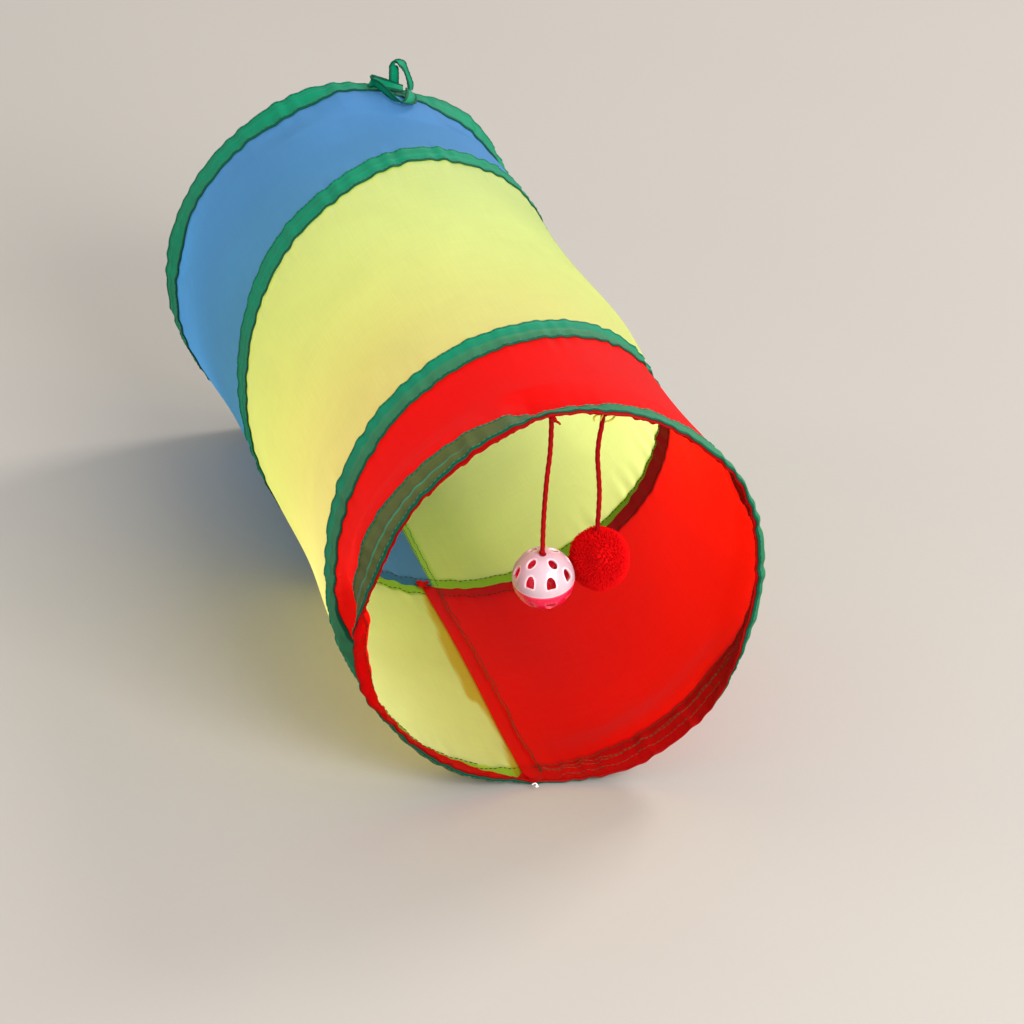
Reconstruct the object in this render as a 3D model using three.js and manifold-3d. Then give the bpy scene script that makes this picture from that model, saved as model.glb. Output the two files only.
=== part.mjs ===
// A pop-open play tunnel for cats. A springy wire coils two turns between a hoop at each end.
// Three panels of thin cloth, blue, yellow and red, make one helical strip between the turns.
// Green binding tape covers the wire, two tape loops tie the folded tunnel, and two toys hang
// from the mouth. X points right, -Y out of the mouth and Z up; the floor is at Z = 0.

import * as THREE from "three";
import { mergeVertices } from "three/addons/utils/BufferGeometryUtils.js";
import Module from "manifold-3d";

const { degToRad, lerp, clamp, smoothstep } = THREE.MathUtils;

// Driving dimensions, in millimetres and degrees
const PITCH = 242; // length of tunnel for each turn of the coil
const AXIS_HEIGHT = 123.6; // a little less than the hoops' radius, so they press flat on the floor
const CLOTH_RADIUS = 123.2; // outer face of the cloth where a hoop holds it
const CLOTH_THICKNESS = 1.2;
const SEAM_GAP = 0.3;
const TAPE_THICKNESS = 1.3;
const TAPE_HALF_WIDTH = 12;
const RIM = 5; // an end panel's edge past its hoop's wire
const HEM_OUT = 6; // the hoop's tape past its wire
const HEM_IN = 16; // and back over the cloth
const WIRE_RIDGE = 1.3;
const WIRE_RIDGE_HALF_WIDTH = 2.4;
const LOOP_WIDTH = 8.8;
const LOOP_THICKNESS = 1.1;
const STRING_RADIUS = 1.5;
const BALL_RADIUS = 18.2;
const BALL_WALL = 1.3;
const POMPOM_RADIUS = 18.4;
const POMPOM_CORE_RADIUS = 16.4;
const POMPOM_LOCKS = 230;
const STRING_CLEARING = 12; // degrees of the pompom left bare round its string

// Angles round the tunnel start at the floor line and rise over its right side.
// One turn of wire is 360 degrees: far hoop, coil, coil, mouth hoop.
const TURN = 360;
const COIL_START = TURN;
const COIL_TURNS = 2;
const MOUTH_START = 3 * TURN;
const TURN_STEPS = 60;
const STEP = TURN / TURN_STEPS;
const CLOTH_COLUMNS = 8; // strips of each panel, from one wire to the next

// How the springy wire strays from a true coil: along +Y, and out from the axis
const WIRE_STRAY = [
  { at: 0, along: 0, out: 0.5 },
  { at: 90, along: -12, out: -0.5 },
  { at: 165, along: 1, out: 2.2 },
  { at: 192, along: 7, out: 6 },
  { at: 222, along: 4, out: 4.5 },
  { at: 270, along: 3, out: 6 },
  { at: 360, along: 0, out: 0.5 },
  { at: 450, along: 1.5, out: -4.5 },
  { at: 540, along: 6.5, out: 1.5 },
  { at: 630, along: 0, out: -4 },
  { at: 720, along: 1.5, out: 0 },
  { at: 810, along: 5.5, out: -2 },
  { at: 900, along: -6, out: -4 },
  { at: 990, along: -1, out: -2.5 },
  { at: 1035, along: -13, out: -2.8 },
  { at: 1080, along: 5.5, out: -0.5 },
  { at: 1170, along: 6, out: 3.2 },
  { at: 1260, along: 3.5, out: 0.5 },
  { at: 1350, along: -1, out: -4 },
  { at: 1440, along: 5.5, out: -0.5 },
];

// How far each end hoop's hem rolls about its wire: above 0 its rim turns in, below 0 it flares
const HEM_ROLL = [
  { angle: 0, mouth: 0, far: 0 },
  { angle: 45, mouth: -4, far: 0 },
  { angle: 75, mouth: 4, far: 0 },
  { angle: 105, mouth: 18, far: 0 },
  { angle: 150, mouth: -6, far: 6 },
  { angle: 174, mouth: -19, far: 12 },
  { angle: 194, mouth: -9, far: 14 },
  { angle: 215, mouth: 8, far: 8 },
  { angle: 240, mouth: 22, far: 0 },
  { angle: 264, mouth: 18, far: -12 },
  { angle: 300, mouth: 0, far: 0 },
  { angle: 360, mouth: 0, far: 0 },
];
const ROLL_WHOLE = 18; // all of the roll up to here behind the wire
const ROLL_NONE = 44; // and none from here on

// Soft folds that run along the tunnel: where, how wide, and how deep in each panel
const FOLDS = [
  { angle: 74, spread: 9, depths: [1.4, 1.4, 1.4] },
  { angle: 138, spread: 22, depths: [-2, -2, -2.5] },
  { angle: 171, spread: 10, depths: [1.2, 1.2, 1.2] },
  { angle: 228, spread: 13, depths: [1.4, 1.4, 1.4] },
  { angle: 283, spread: 10, depths: [1, 1, 1] },
];
// The middle panel puffs out low on its right side, more so towards the wire ahead
const PUFF = { turn: 1, angle: 122, spread: 22, out: 6.5, lean: 2.2 };
const SAG_MEAN = 3.5; // how far a whole panel draws in between its hoops
const SAG_SWING = 1.5; // more of it at the top, less on the floor

// The two tape loops on the far hoop: band centre, then the way its width points
const STANDING_LOOP = [
  { x: 17.9, y: 242.4, z: 252.3, heading: 34, rise: 0 },
  { x: 17.6, y: 243.2, z: 258.6, heading: 32, rise: 4 },
  { x: 17.7, y: 244.5, z: 265, heading: 30, rise: 14 },
  { x: 20.6, y: 245.6, z: 267.6, heading: 56, rise: 18 },
  { x: 25.1, y: 245.6, z: 267.1, heading: 80, rise: 8 },
  { x: 27.4, y: 244.4, z: 263, heading: 88, rise: -8 },
  { x: 28.6, y: 242.6, z: 257.4, heading: 84, rise: -8 },
  { x: 29, y: 240.8, z: 249.2, heading: 78, rise: 0 },
];
const LYING_LOOP = [
  { x: 27, y: 231, z: 252.2, heading: 24, rise: 2 },
  { x: 26.4, y: 221.2, z: 251.8, heading: 8, rise: 6 },
  { x: 23.3, y: 214.9, z: 251.3, heading: -42, rise: 8 },
  { x: 17.8, y: 212, z: 252.3, heading: -76, rise: 16 },
  { x: 11.8, y: 213.8, z: 254.9, heading: -86, rise: 30 },
  { x: 6.7, y: 220.4, z: 257.6, heading: -94, rise: 50 },
  { x: 2.9, y: 229.6, z: 260, heading: -100, rise: 58 },
  { x: -0.4, y: 236.8, z: 259.7, heading: -100, rise: 58 },
  { x: 0.8, y: 240.4, z: 259, heading: 30, rise: 52 },
  { x: 5.6, y: 240.2, z: 258, heading: 64, rise: 50 },
  { x: 12, y: 236.6, z: 257.6, heading: 62, rise: 52 },
  { x: 17.4, y: 234.4, z: 256.8, heading: 60, rise: 50 },
  { x: 22.6, y: 233.4, z: 255.2, heading: 58, rise: 30 },
];

// Toys: each string's route down from the hem, where the toy hangs, and the way the ball's top points
const BALL_CENTRE = new THREE.Vector3(-10.1, -241, 141.6);
const BALL_TOP = new THREE.Vector3(-3.1, -3.4, 17.6);
const BALL_STRING = [
  { x: -14.4, y: -239.6, z: 244.4 },
  { x: -13.8, y: -239.7, z: 236 },
  { x: -13.3, y: -240, z: 222 },
  { x: -13.8, y: -240.5, z: 207 },
  { x: -13.9, y: -241.1, z: 192.5 },
  { x: -13.8, y: -242.2, z: 178 },
  { x: -13.5, y: -243.6, z: 166 },
  { x: -13.1, y: -244.2, z: 158.6 },
];
const POMPOM_CENTRE = new THREE.Vector3(27.2, -229, 145.2);
const POMPOM_STRING = [
  { x: 20.2, y: -229, z: 240 },
  { x: 20, y: -229, z: 232 },
  { x: 19.3, y: -229, z: 224 },
  { x: 19.4, y: -229, z: 213 },
  { x: 21.2, y: -229, z: 201 },
  { x: 22.9, y: -229, z: 189 },
  { x: 23.7, y: -229, z: 176 },
  { x: 24.1, y: -229, z: 161.8 },
];

// Rings of holes in each half of the ball: how many, how high, and where the ring starts
const BALL_HOLES = [
  { count: 8, latitude: 29, start: 1, width: 5, height: 6.6, pointed: true },
  { count: 4, latitude: 61, start: 26, width: 4.4, height: 6.2, pointed: false },
];
const STRING_HOLE_RADIUS = 2.2;
const HALF_GAP = 0.15;

const CLOTH_FINISH = { roughness: 0.6, metalness: 0 };
const blue = new THREE.MeshStandardMaterial({ color: 0x4f86c6, ...CLOTH_FINISH });
const yellow = new THREE.MeshStandardMaterial({ color: 0xe4de74, ...CLOTH_FINISH });
const red = new THREE.MeshStandardMaterial({ color: 0xdd1a10, ...CLOTH_FINISH });
const green = new THREE.MeshStandardMaterial({ color: 0x07794f, ...CLOTH_FINISH });
const cord = new THREE.MeshStandardMaterial({ color: 0xa81414, roughness: 0.85, metalness: 0 });
const pearl = new THREE.MeshStandardMaterial({ color: 0xf2d3da, roughness: 0.3, metalness: 0 });
const pink = new THREE.MeshStandardMaterial({ color: 0xe8203c, roughness: 0.3, metalness: 0 });
const pile = new THREE.MeshStandardMaterial({ color: 0xc80d10, roughness: 0.95, metalness: 0 });

// The value of a table's column at a place between its rows, easing from row to row
function readTable(rows, place, key, column) {
  const last = rows.length - 1;
  let i = 0;
  while (i < last - 1 && rows[i + 1][key] <= place) i += 1;
  const share = smoothstep(place, rows[i][key], rows[i + 1][key]);
  return lerp(rows[i][column], rows[i + 1][column], share);
}

function wireAlong(at) {
  const coiled = clamp(at - COIL_START, 0, COIL_TURNS * TURN);
  return PITCH * (1 - coiled / TURN) + readTable(WIRE_STRAY, at, "at", "along");
}

function wireOut(at) {
  return readTable(WIRE_STRAY, at, "at", "out");
}

// How near an angle is to the middle of a fold or puff: 1 there, fading to 0
function nearness(angle, { angle: middle, spread }) {
  return Math.exp(-(((angle - middle) / spread) ** 2));
}

function foldDepth(angle, turn) {
  return FOLDS.reduce((sum, fold) => sum + fold.depths[turn] * nearness(angle, fold), 0);
}

// How far the cloth lies out from its radius: it follows the wires and draws in between them
function clothOut(angle, along) {
  let turn = 0;
  while (turn < 2 && along < wireAlong(angle + (turn + 1) * TURN)) turn += 1;
  const behind = angle + turn * TURN;
  const ahead = behind + TURN;
  const width = wireAlong(behind) - wireAlong(ahead);
  const share = width > 1 ? clamp((wireAlong(behind) - along) / width, 0, 1) : 0;
  const slack = (Math.sin(Math.PI * share) ** 2 * width) / PITCH;
  const sag = SAG_MEAN - SAG_SWING * Math.cos(degToRad(angle));
  const drawnIn = slack * (sag + foldDepth(angle, turn));
  const puff = turn === PUFF.turn ? PUFF.out * nearness(angle, PUFF) * Math.sin(Math.PI * share ** PUFF.lean) : 0;
  return lerp(wireOut(behind), wireOut(ahead), share) - drawnIn + puff;
}

const OUTER_LIFT = SEAM_GAP + TAPE_THICKNESS;

// A point on the tunnel's skin: angle round it, place along it, and lift off the cloth's outer face.
// Each end's hem rolls about its wire, and what would pass the floor lies flat on it.
function skin(angle, along, lift) {
  const end = along > 0 ? { start: 0, outwards: 1, roll: "far" } : { start: MOUTH_START, outwards: -1, roll: "mouth" };
  const hoopAlong = wireAlong(end.start + angle);
  const hoopRadius = CLOTH_RADIUS + wireOut(end.start + angle);
  const past = end.outwards * (along - hoopAlong);
  const raised = CLOTH_RADIUS + clothOut(angle, along) + lift - hoopRadius;
  const held = 1 - smoothstep(-past, ROLL_WHOLE, ROLL_NONE);
  const roll = degToRad(readTable(HEM_ROLL, angle, "angle", end.roll)) * held;
  const y = hoopAlong + end.outwards * (past * Math.cos(roll) + raised * Math.sin(roll));
  const radius = hoopRadius - past * Math.sin(roll) + raised * Math.cos(roll);
  const round = degToRad(angle - 90);
  const floor = Math.max(OUTER_LIFT - lift, 0);
  const z = AXIS_HEIGHT + radius * Math.sin(round);
  return new THREE.Vector3(radius * Math.cos(round), y, Math.max(z, floor));
}

// A closed solid over a grid of sections. Each section is a closed ring of points, its outer face
// first, and both faces are split along the same diagonals so that layers lie close.
function loft(sections, closed) {
  const positions = sections.flatMap((section) => section.flatMap((p) => p.toArray()));
  const size = sections[0].length;
  const indices = [];
  const spans = closed ? sections.length : sections.length - 1;
  for (let i = 0; i < spans; i += 1) {
    const here = i * size;
    const next = ((i + 1) % sections.length) * size;
    for (let j = 0; j < size; j += 1) {
      const k = (j + 1) % size;
      if (j < size / 2) indices.push(here + j, next + j, next + k, here + j, next + k, here + k);
      else indices.push(here + j, next + j, here + k, here + k, next + j, next + k);
    }
  }
  if (!closed) {
    const last = (sections.length - 1) * size;
    const half = size / 2;
    for (let j = 0; j < half - 1; j += 1) {
      const back = size - 1 - j;
      indices.push(j, j + 1, back - 1, j, back - 1, back);
      indices.push(last + j, last + back - 1, last + j + 1, last + j, last + back, last + back - 1);
    }
  }
  const geometry = new THREE.BufferGeometry();
  geometry.setAttribute("position", new THREE.Float32BufferAttribute(positions, 3));
  geometry.setIndex(indices);
  return geometry;
}

function meshOf(name, geometry, material) {
  const mesh = new THREE.Mesh(geometry, material);
  mesh.name = name;
  return mesh;
}

// Where a panel's columns lie, forward of its back edge: one at each tape's edge and
// through the mouth's roll, and the rest spread evenly between them
function columnPlaces(width, backMarks, frontMarks) {
  const marked = Math.max(...backMarks) + Math.max(...frontMarks);
  const squeeze = Math.min(1, (0.8 * width) / marked);
  const backPlaces = [0, ...backMarks.map((mark) => mark * squeeze)];
  const frontPlaces = [...frontMarks.map((mark) => width - mark * squeeze), width];
  const spans = CLOTH_COLUMNS - backMarks.length - frontMarks.length;
  const spread = [];
  for (let i = 1; i < spans; i += 1) spread.push(lerp(backPlaces.at(-1), frontPlaces[0], i / spans));
  return [...backPlaces, ...spread, ...frontPlaces];
}

// One panel of cloth between two turns of wire, from one end seam to the other
function clothPanel(turn, startAngle, endAngle) {
  const hemMarks = [RIM + ROLL_NONE, RIM + (ROLL_NONE + ROLL_WHOLE) / 2, RIM + ROLL_WHOLE, RIM];
  const backMarks = turn === 0 ? [...hemMarks].reverse() : [TAPE_HALF_WIDTH];
  const frontMarks = turn === 2 ? hemMarks : [TAPE_HALF_WIDTH];
  const sections = [];
  for (let i = 0; i <= TURN_STEPS; i += 1) {
    const angle = clamp(i * STEP, startAngle, endAngle);
    const at = angle + turn * TURN;
    const back = wireAlong(at) + (turn === 0 ? RIM : -SEAM_GAP / 2);
    const front = wireAlong(at + TURN) + (turn === 2 ? -RIM : SEAM_GAP / 2);
    const places = columnPlaces(back - front, backMarks, frontMarks);
    const outer = places.map((place) => skin(angle, back - place, 0));
    const inner = places.map((place) => skin(angle, back - place, -CLOTH_THICKNESS));
    sections.push([...outer, ...inner.reverse()]);
  }
  return loft(sections, false);
}

// The stitched tape edge wanders a little
function edgeWander(at, phase) {
  return 0.8 * Math.sin(degToRad(at * 9 + phase)) + 0.5 * Math.sin(degToRad(at * 13 + 2 * phase));
}

// The tape's two edges at a place on the wire, measured forward from the wire
function tapeEdges(at) {
  const farHoop = at < COIL_START;
  const mouthHoop = at >= MOUTH_START;
  const back = farHoop ? HEM_OUT : mouthHoop ? HEM_IN : TAPE_HALF_WIDTH;
  const front = farHoop ? HEM_IN : mouthHoop ? HEM_OUT : TAPE_HALF_WIDTH;
  return {
    back: -back + edgeWander(at % TURN, farHoop ? 20 : 140),
    front: front + edgeWander(at % TURN, mouthHoop ? 60 : 250),
  };
}

// One section of tape: flat under its edges, raised over the wire, and cut back from an end hoop's tape
function tapeSection(at, coil) {
  const angle = at % TURN;
  const wire = wireAlong(at);
  const { back, front } = tapeEdges(at);
  let start = back;
  let end = front;
  if (coil) {
    const farFront = wireAlong(angle) - tapeEdges(angle).front - 2 * SEAM_GAP;
    const mouthBack = wireAlong(angle + MOUTH_START) - tapeEdges(angle + MOUTH_START).back + 2 * SEAM_GAP;
    start = Math.max(start, wire - farFront);
    end = Math.min(end, wire - mouthBack);
  }
  const width = end - start;
  const ridgeShare = clamp((Math.min(-start, end) - WIRE_RIDGE_HALF_WIDTH) / WIRE_RIDGE_HALF_WIDTH, 0, 1);
  const crest = clamp(0, start + 0.4 * width, end - 0.4 * width);
  const foot = Math.min(WIRE_RIDGE_HALF_WIDTH, 0.3 * width);
  const point = (forward, lift) => skin(angle, wire - forward, lift);
  return [
    point(start, OUTER_LIFT),
    point(crest - foot, OUTER_LIFT),
    point(crest, OUTER_LIFT + WIRE_RIDGE * ridgeShare),
    point(crest + foot, OUTER_LIFT),
    point(end, OUTER_LIFT),
    point(end, SEAM_GAP),
    point(crest + foot, SEAM_GAP),
    point(crest, SEAM_GAP),
    point(crest - foot, SEAM_GAP),
    point(start, SEAM_GAP),
  ];
}

function tapeRing(start) {
  const sections = [];
  for (let i = 0; i < TURN_STEPS; i += 1) sections.push(tapeSection(start + i * STEP, false));
  return loft(sections, true);
}

function tapeLength(start, end) {
  const stops = [start];
  for (let at = Math.ceil(start / STEP + 0.1) * STEP; at < end - 0.1 * STEP; at += STEP) stops.push(at);
  stops.push(end);
  return loft(stops.map((at) => tapeSection(at, true)), false);
}

// A flat band swept through a table of places, its width turned as each row says
function band(rows) {
  const points = rows.map((row) => new THREE.Vector3(row.x, row.y, row.z));
  const sections = rows.map((row, i) => {
    const before = points[Math.max(i - 1, 0)];
    const after = points[Math.min(i + 1, points.length - 1)];
    const course = after.clone().sub(before).normalize();
    const heading = degToRad(row.heading);
    const rise = degToRad(row.rise);
    const across = new THREE.Vector3(
      Math.cos(heading) * Math.cos(rise),
      Math.sin(heading) * Math.cos(rise),
      Math.sin(rise),
    );
    across.addScaledVector(course, -across.dot(course)).normalize();
    const face = course.clone().cross(across);
    const corner = (side, depth) =>
      points[i]
        .clone()
        .addScaledVector(across, (side * LOOP_WIDTH) / 2)
        .addScaledVector(face, (depth * LOOP_THICKNESS) / 2);
    return [corner(-1, 1), corner(1, 1), corner(1, -1), corner(-1, -1)];
  });
  return loft(sections, false);
}

function roundShape(radius) {
  return new THREE.Shape().absarc(0, 0, radius, 0, 2 * Math.PI);
}

function stringGeometry(rows, steps) {
  const path = new THREE.CatmullRomCurve3(rows.map((row) => new THREE.Vector3(row.x, row.y, row.z)));
  const options = { steps, curveSegments: 4, bevelEnabled: false, extrudePath: path };
  return new THREE.ExtrudeGeometry(roundShape(STRING_RADIUS), options);
}

const wasm = await Module();
wasm.setup();

function toSolid(geometry) {
  const bare = geometry.clone();
  bare.deleteAttribute("normal");
  bare.deleteAttribute("uv");
  const merged = mergeVertices(bare, 1e-4);
  const vertProperties = new Float32Array(merged.attributes.position.array);
  const triVerts = new Uint32Array(merged.index.array);
  return new wasm.Manifold(new wasm.Mesh({ numProp: 3, vertProperties, triVerts }));
}

function fromSolid(solid) {
  const mesh = solid.getMesh();
  const geometry = new THREE.BufferGeometry();
  geometry.setAttribute("position", new THREE.Float32BufferAttribute(mesh.vertProperties, 3));
  geometry.setIndex(Array.from(mesh.triVerts));
  return geometry;
}

// A hole's outline: an oval, or rounded above and flat below
function holeShape({ width, height, pointed }) {
  if (!pointed) return new THREE.Shape().absellipse(0, 0, width / 2, height / 2, 0, 2 * Math.PI);
  const shape = new THREE.Shape();
  const shoulder = height / 2 - width * 0.32;
  shape.moveTo(-width / 2, -height / 2);
  shape.lineTo(width / 2, -height / 2);
  shape.lineTo(width * 0.36, shoulder);
  shape.quadraticCurveTo(0, height * 0.66, -width * 0.36, shoulder);
  return shape;
}

// A cutter that stands out from the ball's centre at a latitude and longitude
function holeCutter(shape, latitude, longitude) {
  const cutter = new THREE.ExtrudeGeometry(shape, { depth: BALL_RADIUS, curveSegments: 3, bevelEnabled: false });
  cutter.translate(0, 0, BALL_RADIUS / 2);
  cutter.rotateX(degToRad(90 - latitude));
  cutter.rotateZ(degToRad(longitude));
  return toSolid(cutter);
}

// Half of the hollow ball, standing on its rim
function ballHalf(hasStringHole) {
  const arc = [];
  const steps = 6;
  const wallRadius = BALL_RADIUS - BALL_WALL;
  for (let i = 0; i <= steps; i += 1) {
    const slope = (Math.PI / 2) * (i / steps);
    const height = Math.max(BALL_RADIUS * Math.sin(slope), HALF_GAP);
    arc.push(new THREE.Vector2(i === steps ? 0 : BALL_RADIUS * Math.cos(slope), height));
  }
  const hollow = [];
  for (let i = steps; i >= 0; i -= 1) {
    const slope = (Math.PI / 2) * (i / steps);
    const height = Math.max(wallRadius * Math.sin(slope), HALF_GAP);
    hollow.push(new THREE.Vector2(i === steps ? 0 : wallRadius * Math.cos(slope), height));
  }
  const profile = [...hollow, ...arc];
  const shell = new THREE.LatheGeometry(profile, 24);
  shell.rotateX(Math.PI / 2);
  let half = toSolid(shell);
  for (const ring of BALL_HOLES) {
    for (let i = 0; i < ring.count; i += 1) {
      const longitude = ring.start + (i * TURN) / ring.count;
      half = half.subtract(holeCutter(holeShape(ring), ring.latitude, longitude));
    }
  }
  if (hasStringHole) half = half.subtract(holeCutter(roundShape(STRING_HOLE_RADIUS), 90, 0));
  return fromSolid(half);
}

// A tuft of pile: pointed locks that stand out all over a round core
function pompomGeometry() {
  const core = new THREE.IcosahedronGeometry(POMPOM_CORE_RADIUS, 2);
  const stringFoot = new THREE.Vector3().copy(POMPOM_STRING.at(-1)).sub(POMPOM_CENTRE);
  const locks = [];
  const up = new THREE.Vector3(0, 1, 0);
  const root = POMPOM_CORE_RADIUS * 0.93;
  const goldenAngle = Math.PI * (3 - Math.sqrt(5));
  for (let i = 0; i < POMPOM_LOCKS; i += 1) {
    const height = 1 - (2 * (i + 0.5)) / POMPOM_LOCKS;
    const ringRadius = Math.sqrt(1 - height * height);
    const round = i * goldenAngle;
    const away = new THREE.Vector3(ringRadius * Math.cos(round), ringRadius * Math.sin(round), height);
    if (away.angleTo(stringFoot) < degToRad(STRING_CLEARING)) continue;
    const length = POMPOM_RADIUS - root - 0.5 * (1 + Math.sin(i * 2.4));
    const lock = new THREE.ConeGeometry(1.6, length, 3, 1);
    lock.rotateY(i);
    lock.translate(0, length / 2, 0);
    lock.applyQuaternion(new THREE.Quaternion().setFromUnitVectors(up, away));
    lock.translate(away.x * root, away.y * root, away.z * root);
    locks.push(toSolid(lock));
  }
  return fromSolid(wasm.Manifold.union([toSolid(core), ...locks]));
}

function place(mesh, centre) {
  mesh.position.copy(centre);
  return mesh;
}

// The cloth: each panel runs from its end seam on the floor line round to the next
const SEAM_ANGLE = THREE.MathUtils.radToDeg(SEAM_GAP / 2 / CLOTH_RADIUS);
const POINT_ANGLE = 1; // where a panel that runs out to a point is cut off under the tape
const tunnel = new THREE.Group();
tunnel.add(meshOf("panel_blue", clothPanel(0, POINT_ANGLE, TURN - SEAM_ANGLE), blue));
tunnel.add(meshOf("panel_yellow", clothPanel(1, SEAM_ANGLE, TURN - SEAM_ANGLE), yellow));
tunnel.add(meshOf("panel_red", clothPanel(2, SEAM_ANGLE, TURN - POINT_ANGLE), red));

// The binding: a ring of tape on each end hoop and two lengths along the coil
const COIL_TAPE_START = COIL_START + 12;
const SPLICE = COIL_START + TURN + 12;
const SPLICE_GAP = 2 * SEAM_ANGLE;
const COIL_TAPE_END = MOUTH_START - 16;
tunnel.add(meshOf("binding_far_hoop", tapeRing(0), green));
tunnel.add(meshOf("binding_coil_rear", tapeLength(COIL_TAPE_START, SPLICE), green));
tunnel.add(meshOf("binding_coil_front", tapeLength(SPLICE + SPLICE_GAP, COIL_TAPE_END), green));
tunnel.add(meshOf("binding_mouth_hoop", tapeRing(MOUTH_START), green));

tunnel.add(meshOf("loop_standing", band(STANDING_LOOP), green));
tunnel.add(meshOf("loop_lying", band(LYING_LOOP), green));

tunnel.add(meshOf("string_ball", stringGeometry(BALL_STRING, 16), cord));
tunnel.add(meshOf("string_pompom", stringGeometry(POMPOM_STRING, 14), cord));

const ball = new THREE.Group();
ball.quaternion.setFromUnitVectors(new THREE.Vector3(0, 0, 1), BALL_TOP.clone().normalize());
ball.position.copy(BALL_CENTRE);
const lowerHalf = meshOf("ball_lower", ballHalf(false), pink);
lowerHalf.rotation.x = Math.PI;
ball.add(meshOf("ball_upper", ballHalf(true), pearl), lowerHalf);
tunnel.add(ball);
tunnel.add(place(meshOf("pompom", pompomGeometry(), pile), POMPOM_CENTRE));

export default tunnel;
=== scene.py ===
"""The looks of a pop-open cat tunnel: cloth panels, binding, tie loops, stitches and hanging toys."""

import math

import bmesh
import bpy
import numpy as np
from mathutils import Matrix, Vector


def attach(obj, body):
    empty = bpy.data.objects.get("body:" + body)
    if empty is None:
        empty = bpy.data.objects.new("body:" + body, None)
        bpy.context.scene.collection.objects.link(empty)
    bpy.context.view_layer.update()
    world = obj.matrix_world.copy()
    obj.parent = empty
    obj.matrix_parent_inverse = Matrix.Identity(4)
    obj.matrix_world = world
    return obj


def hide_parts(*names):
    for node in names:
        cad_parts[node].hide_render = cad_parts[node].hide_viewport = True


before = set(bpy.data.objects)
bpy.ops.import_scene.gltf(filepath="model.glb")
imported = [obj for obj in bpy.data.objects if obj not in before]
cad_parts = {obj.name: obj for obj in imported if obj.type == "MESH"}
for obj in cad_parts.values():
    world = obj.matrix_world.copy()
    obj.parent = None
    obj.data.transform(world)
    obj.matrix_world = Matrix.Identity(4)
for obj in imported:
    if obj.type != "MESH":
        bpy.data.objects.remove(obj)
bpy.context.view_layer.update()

bl_info = {
    "name": "Cat Tunnel",
    "version": (1, 0, 0),
    "blender": (4, 5, 0),
    "location": "View3D > Sidebar > Cat Tunnel",
    "description": "Makes the cloth, binding, stitches and toys of a pop-open cat tunnel",
    "category": "Object",
}

MM = 0.001
TURN = 360.0


def table(columns, rows):
    """A short table as one array for each named column."""
    return {name: np.array([row[i] for row in rows], float) for i, name in enumerate(columns)}


# Driving dimensions in millimetres and degrees, as in the solids' source
PITCH = 242.0
AXIS_HEIGHT = 123.6
CLOTH_RADIUS = 123.2
SEAM_GAP = 0.3
TAPE_THICKNESS = 1.3
TAPE_HALF_WIDTH = 12.0
RIM = 6.2
HEM_OUT = 5.0
HEM_IN = 16.0
COIL_START = TURN
MOUTH_START = 3 * TURN
SAG_MEAN = 3.5
SAG_SWING = 1.5
ROLL_WHOLE = 18.0
ROLL_NONE = 44.0
OUTER_LIFT = SEAM_GAP + TAPE_THICKNESS
BALL_RADIUS = 18.2
BALL_WALL = 1.3
STRING_DIAMETER = 3.0

# How the springy wire strays from a true coil: along +Y, and out from the axis
WIRE_STRAY = table(
    ("at", "along", "out"),
    [
        (0, 0, 0.5),
        (90, -12, -1),
        (120, -6, -4),
        (150, 0, 3.4),
        (165, 1, 2.2),
        (192, 7, 6),
        (222, 4, 5),
        (270, 3, 6),
        (360, 0, 0.5),
        (450, 1.5, -4.5),
        (510, 8, -1),
        (540, 10, 2),
        (576, 3, 1),
        (630, 0, -4),
        (720, 1.5, 0),
        (810, 8, -2),
        (848, 1.5, -2.8),
        (900, -6, -4),
        (984, -1, -2.5),
        (1008, -5, 0.8),
        (1035, -13, 0.2),
        (1080, 5.5, -0.5),
        (1110, 1, 2),
        (1140, -1, 2),
        (1170, 6, 5),
        (1206, 4, 5.6),
        (1230, 5, 2),
        (1260, 3.5, 0.5),
        (1305, -1, -3.4),
        (1335, -1, -6),
        (1353, -1.5, -3),
        (1370, -1, -1.5),
        (1390, 0, -3),
        (1415, 0, -2),
        (1440, 5.5, -0.5),
    ],
)

# How far each end hoop's hem rolls about its wire: above 0 its rim turns in, below 0 it flares
HEM_ROLL = table(
    ("angle", "mouth", "far"),
    [
        (0, 0, 0),
        (30, -15, 0),
        (57, -15, 0),
        (78, 10, 0),
        (99, 12, 0),
        (117, -12, -4),
        (141, 0, -12),
        (153, -4, -8),
        (166, -8, 8),
        (178, -17, 12),
        (189, -23, 9),
        (200, -2, -5),
        (210, 6, -8),
        (222, 12, -3),
        (249, 20, 0),
        (262, 6, -10),
        (276, -36, -5),
        (290, -28, 0),
        (306, -8, 0),
        (330, 0, 0),
        (360, 0, 0),
    ],
)

# Where the mouth's rim tucks in past its wire, and how deep its hem shows there
RIM_TUCK = table(
    ("angle", "tuck", "depth"),
    [
        (0, 14, 1),
        (16, 12, 1),
        (30, 0, 1),
        (48, 4, 1),
        (66, 34, 0.8),
        (80, 52, 0.9),
        (112, 52, 0.9),
        (132, 22, 0.85),
        (150, 0, 1),
        (294, 0, 1),
        (310, 30, 1.4),
        (325, 42, 1.6),
        (336, 44, 1.5),
        (347, 46, 1),
        (354, 42, 0.5),
        (358, 16, 0.9),
        (360, 14, 1),
    ],
)

# Soft folds that run along the tunnel: where, how wide, and how deep in each panel
FOLDS = table(
    ("angle", "spread", "blue", "yellow", "red"),
    [
        (74, 9, 1.4, 1.4, 1.4),
        (138, 22, -2, -2, -2.5),
        (171, 10, 1.2, 1.2, 1.2),
        (228, 13, 1.4, 1.4, 1.4),
        (283, 10, 1, 1, 1),
    ],
)
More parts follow.
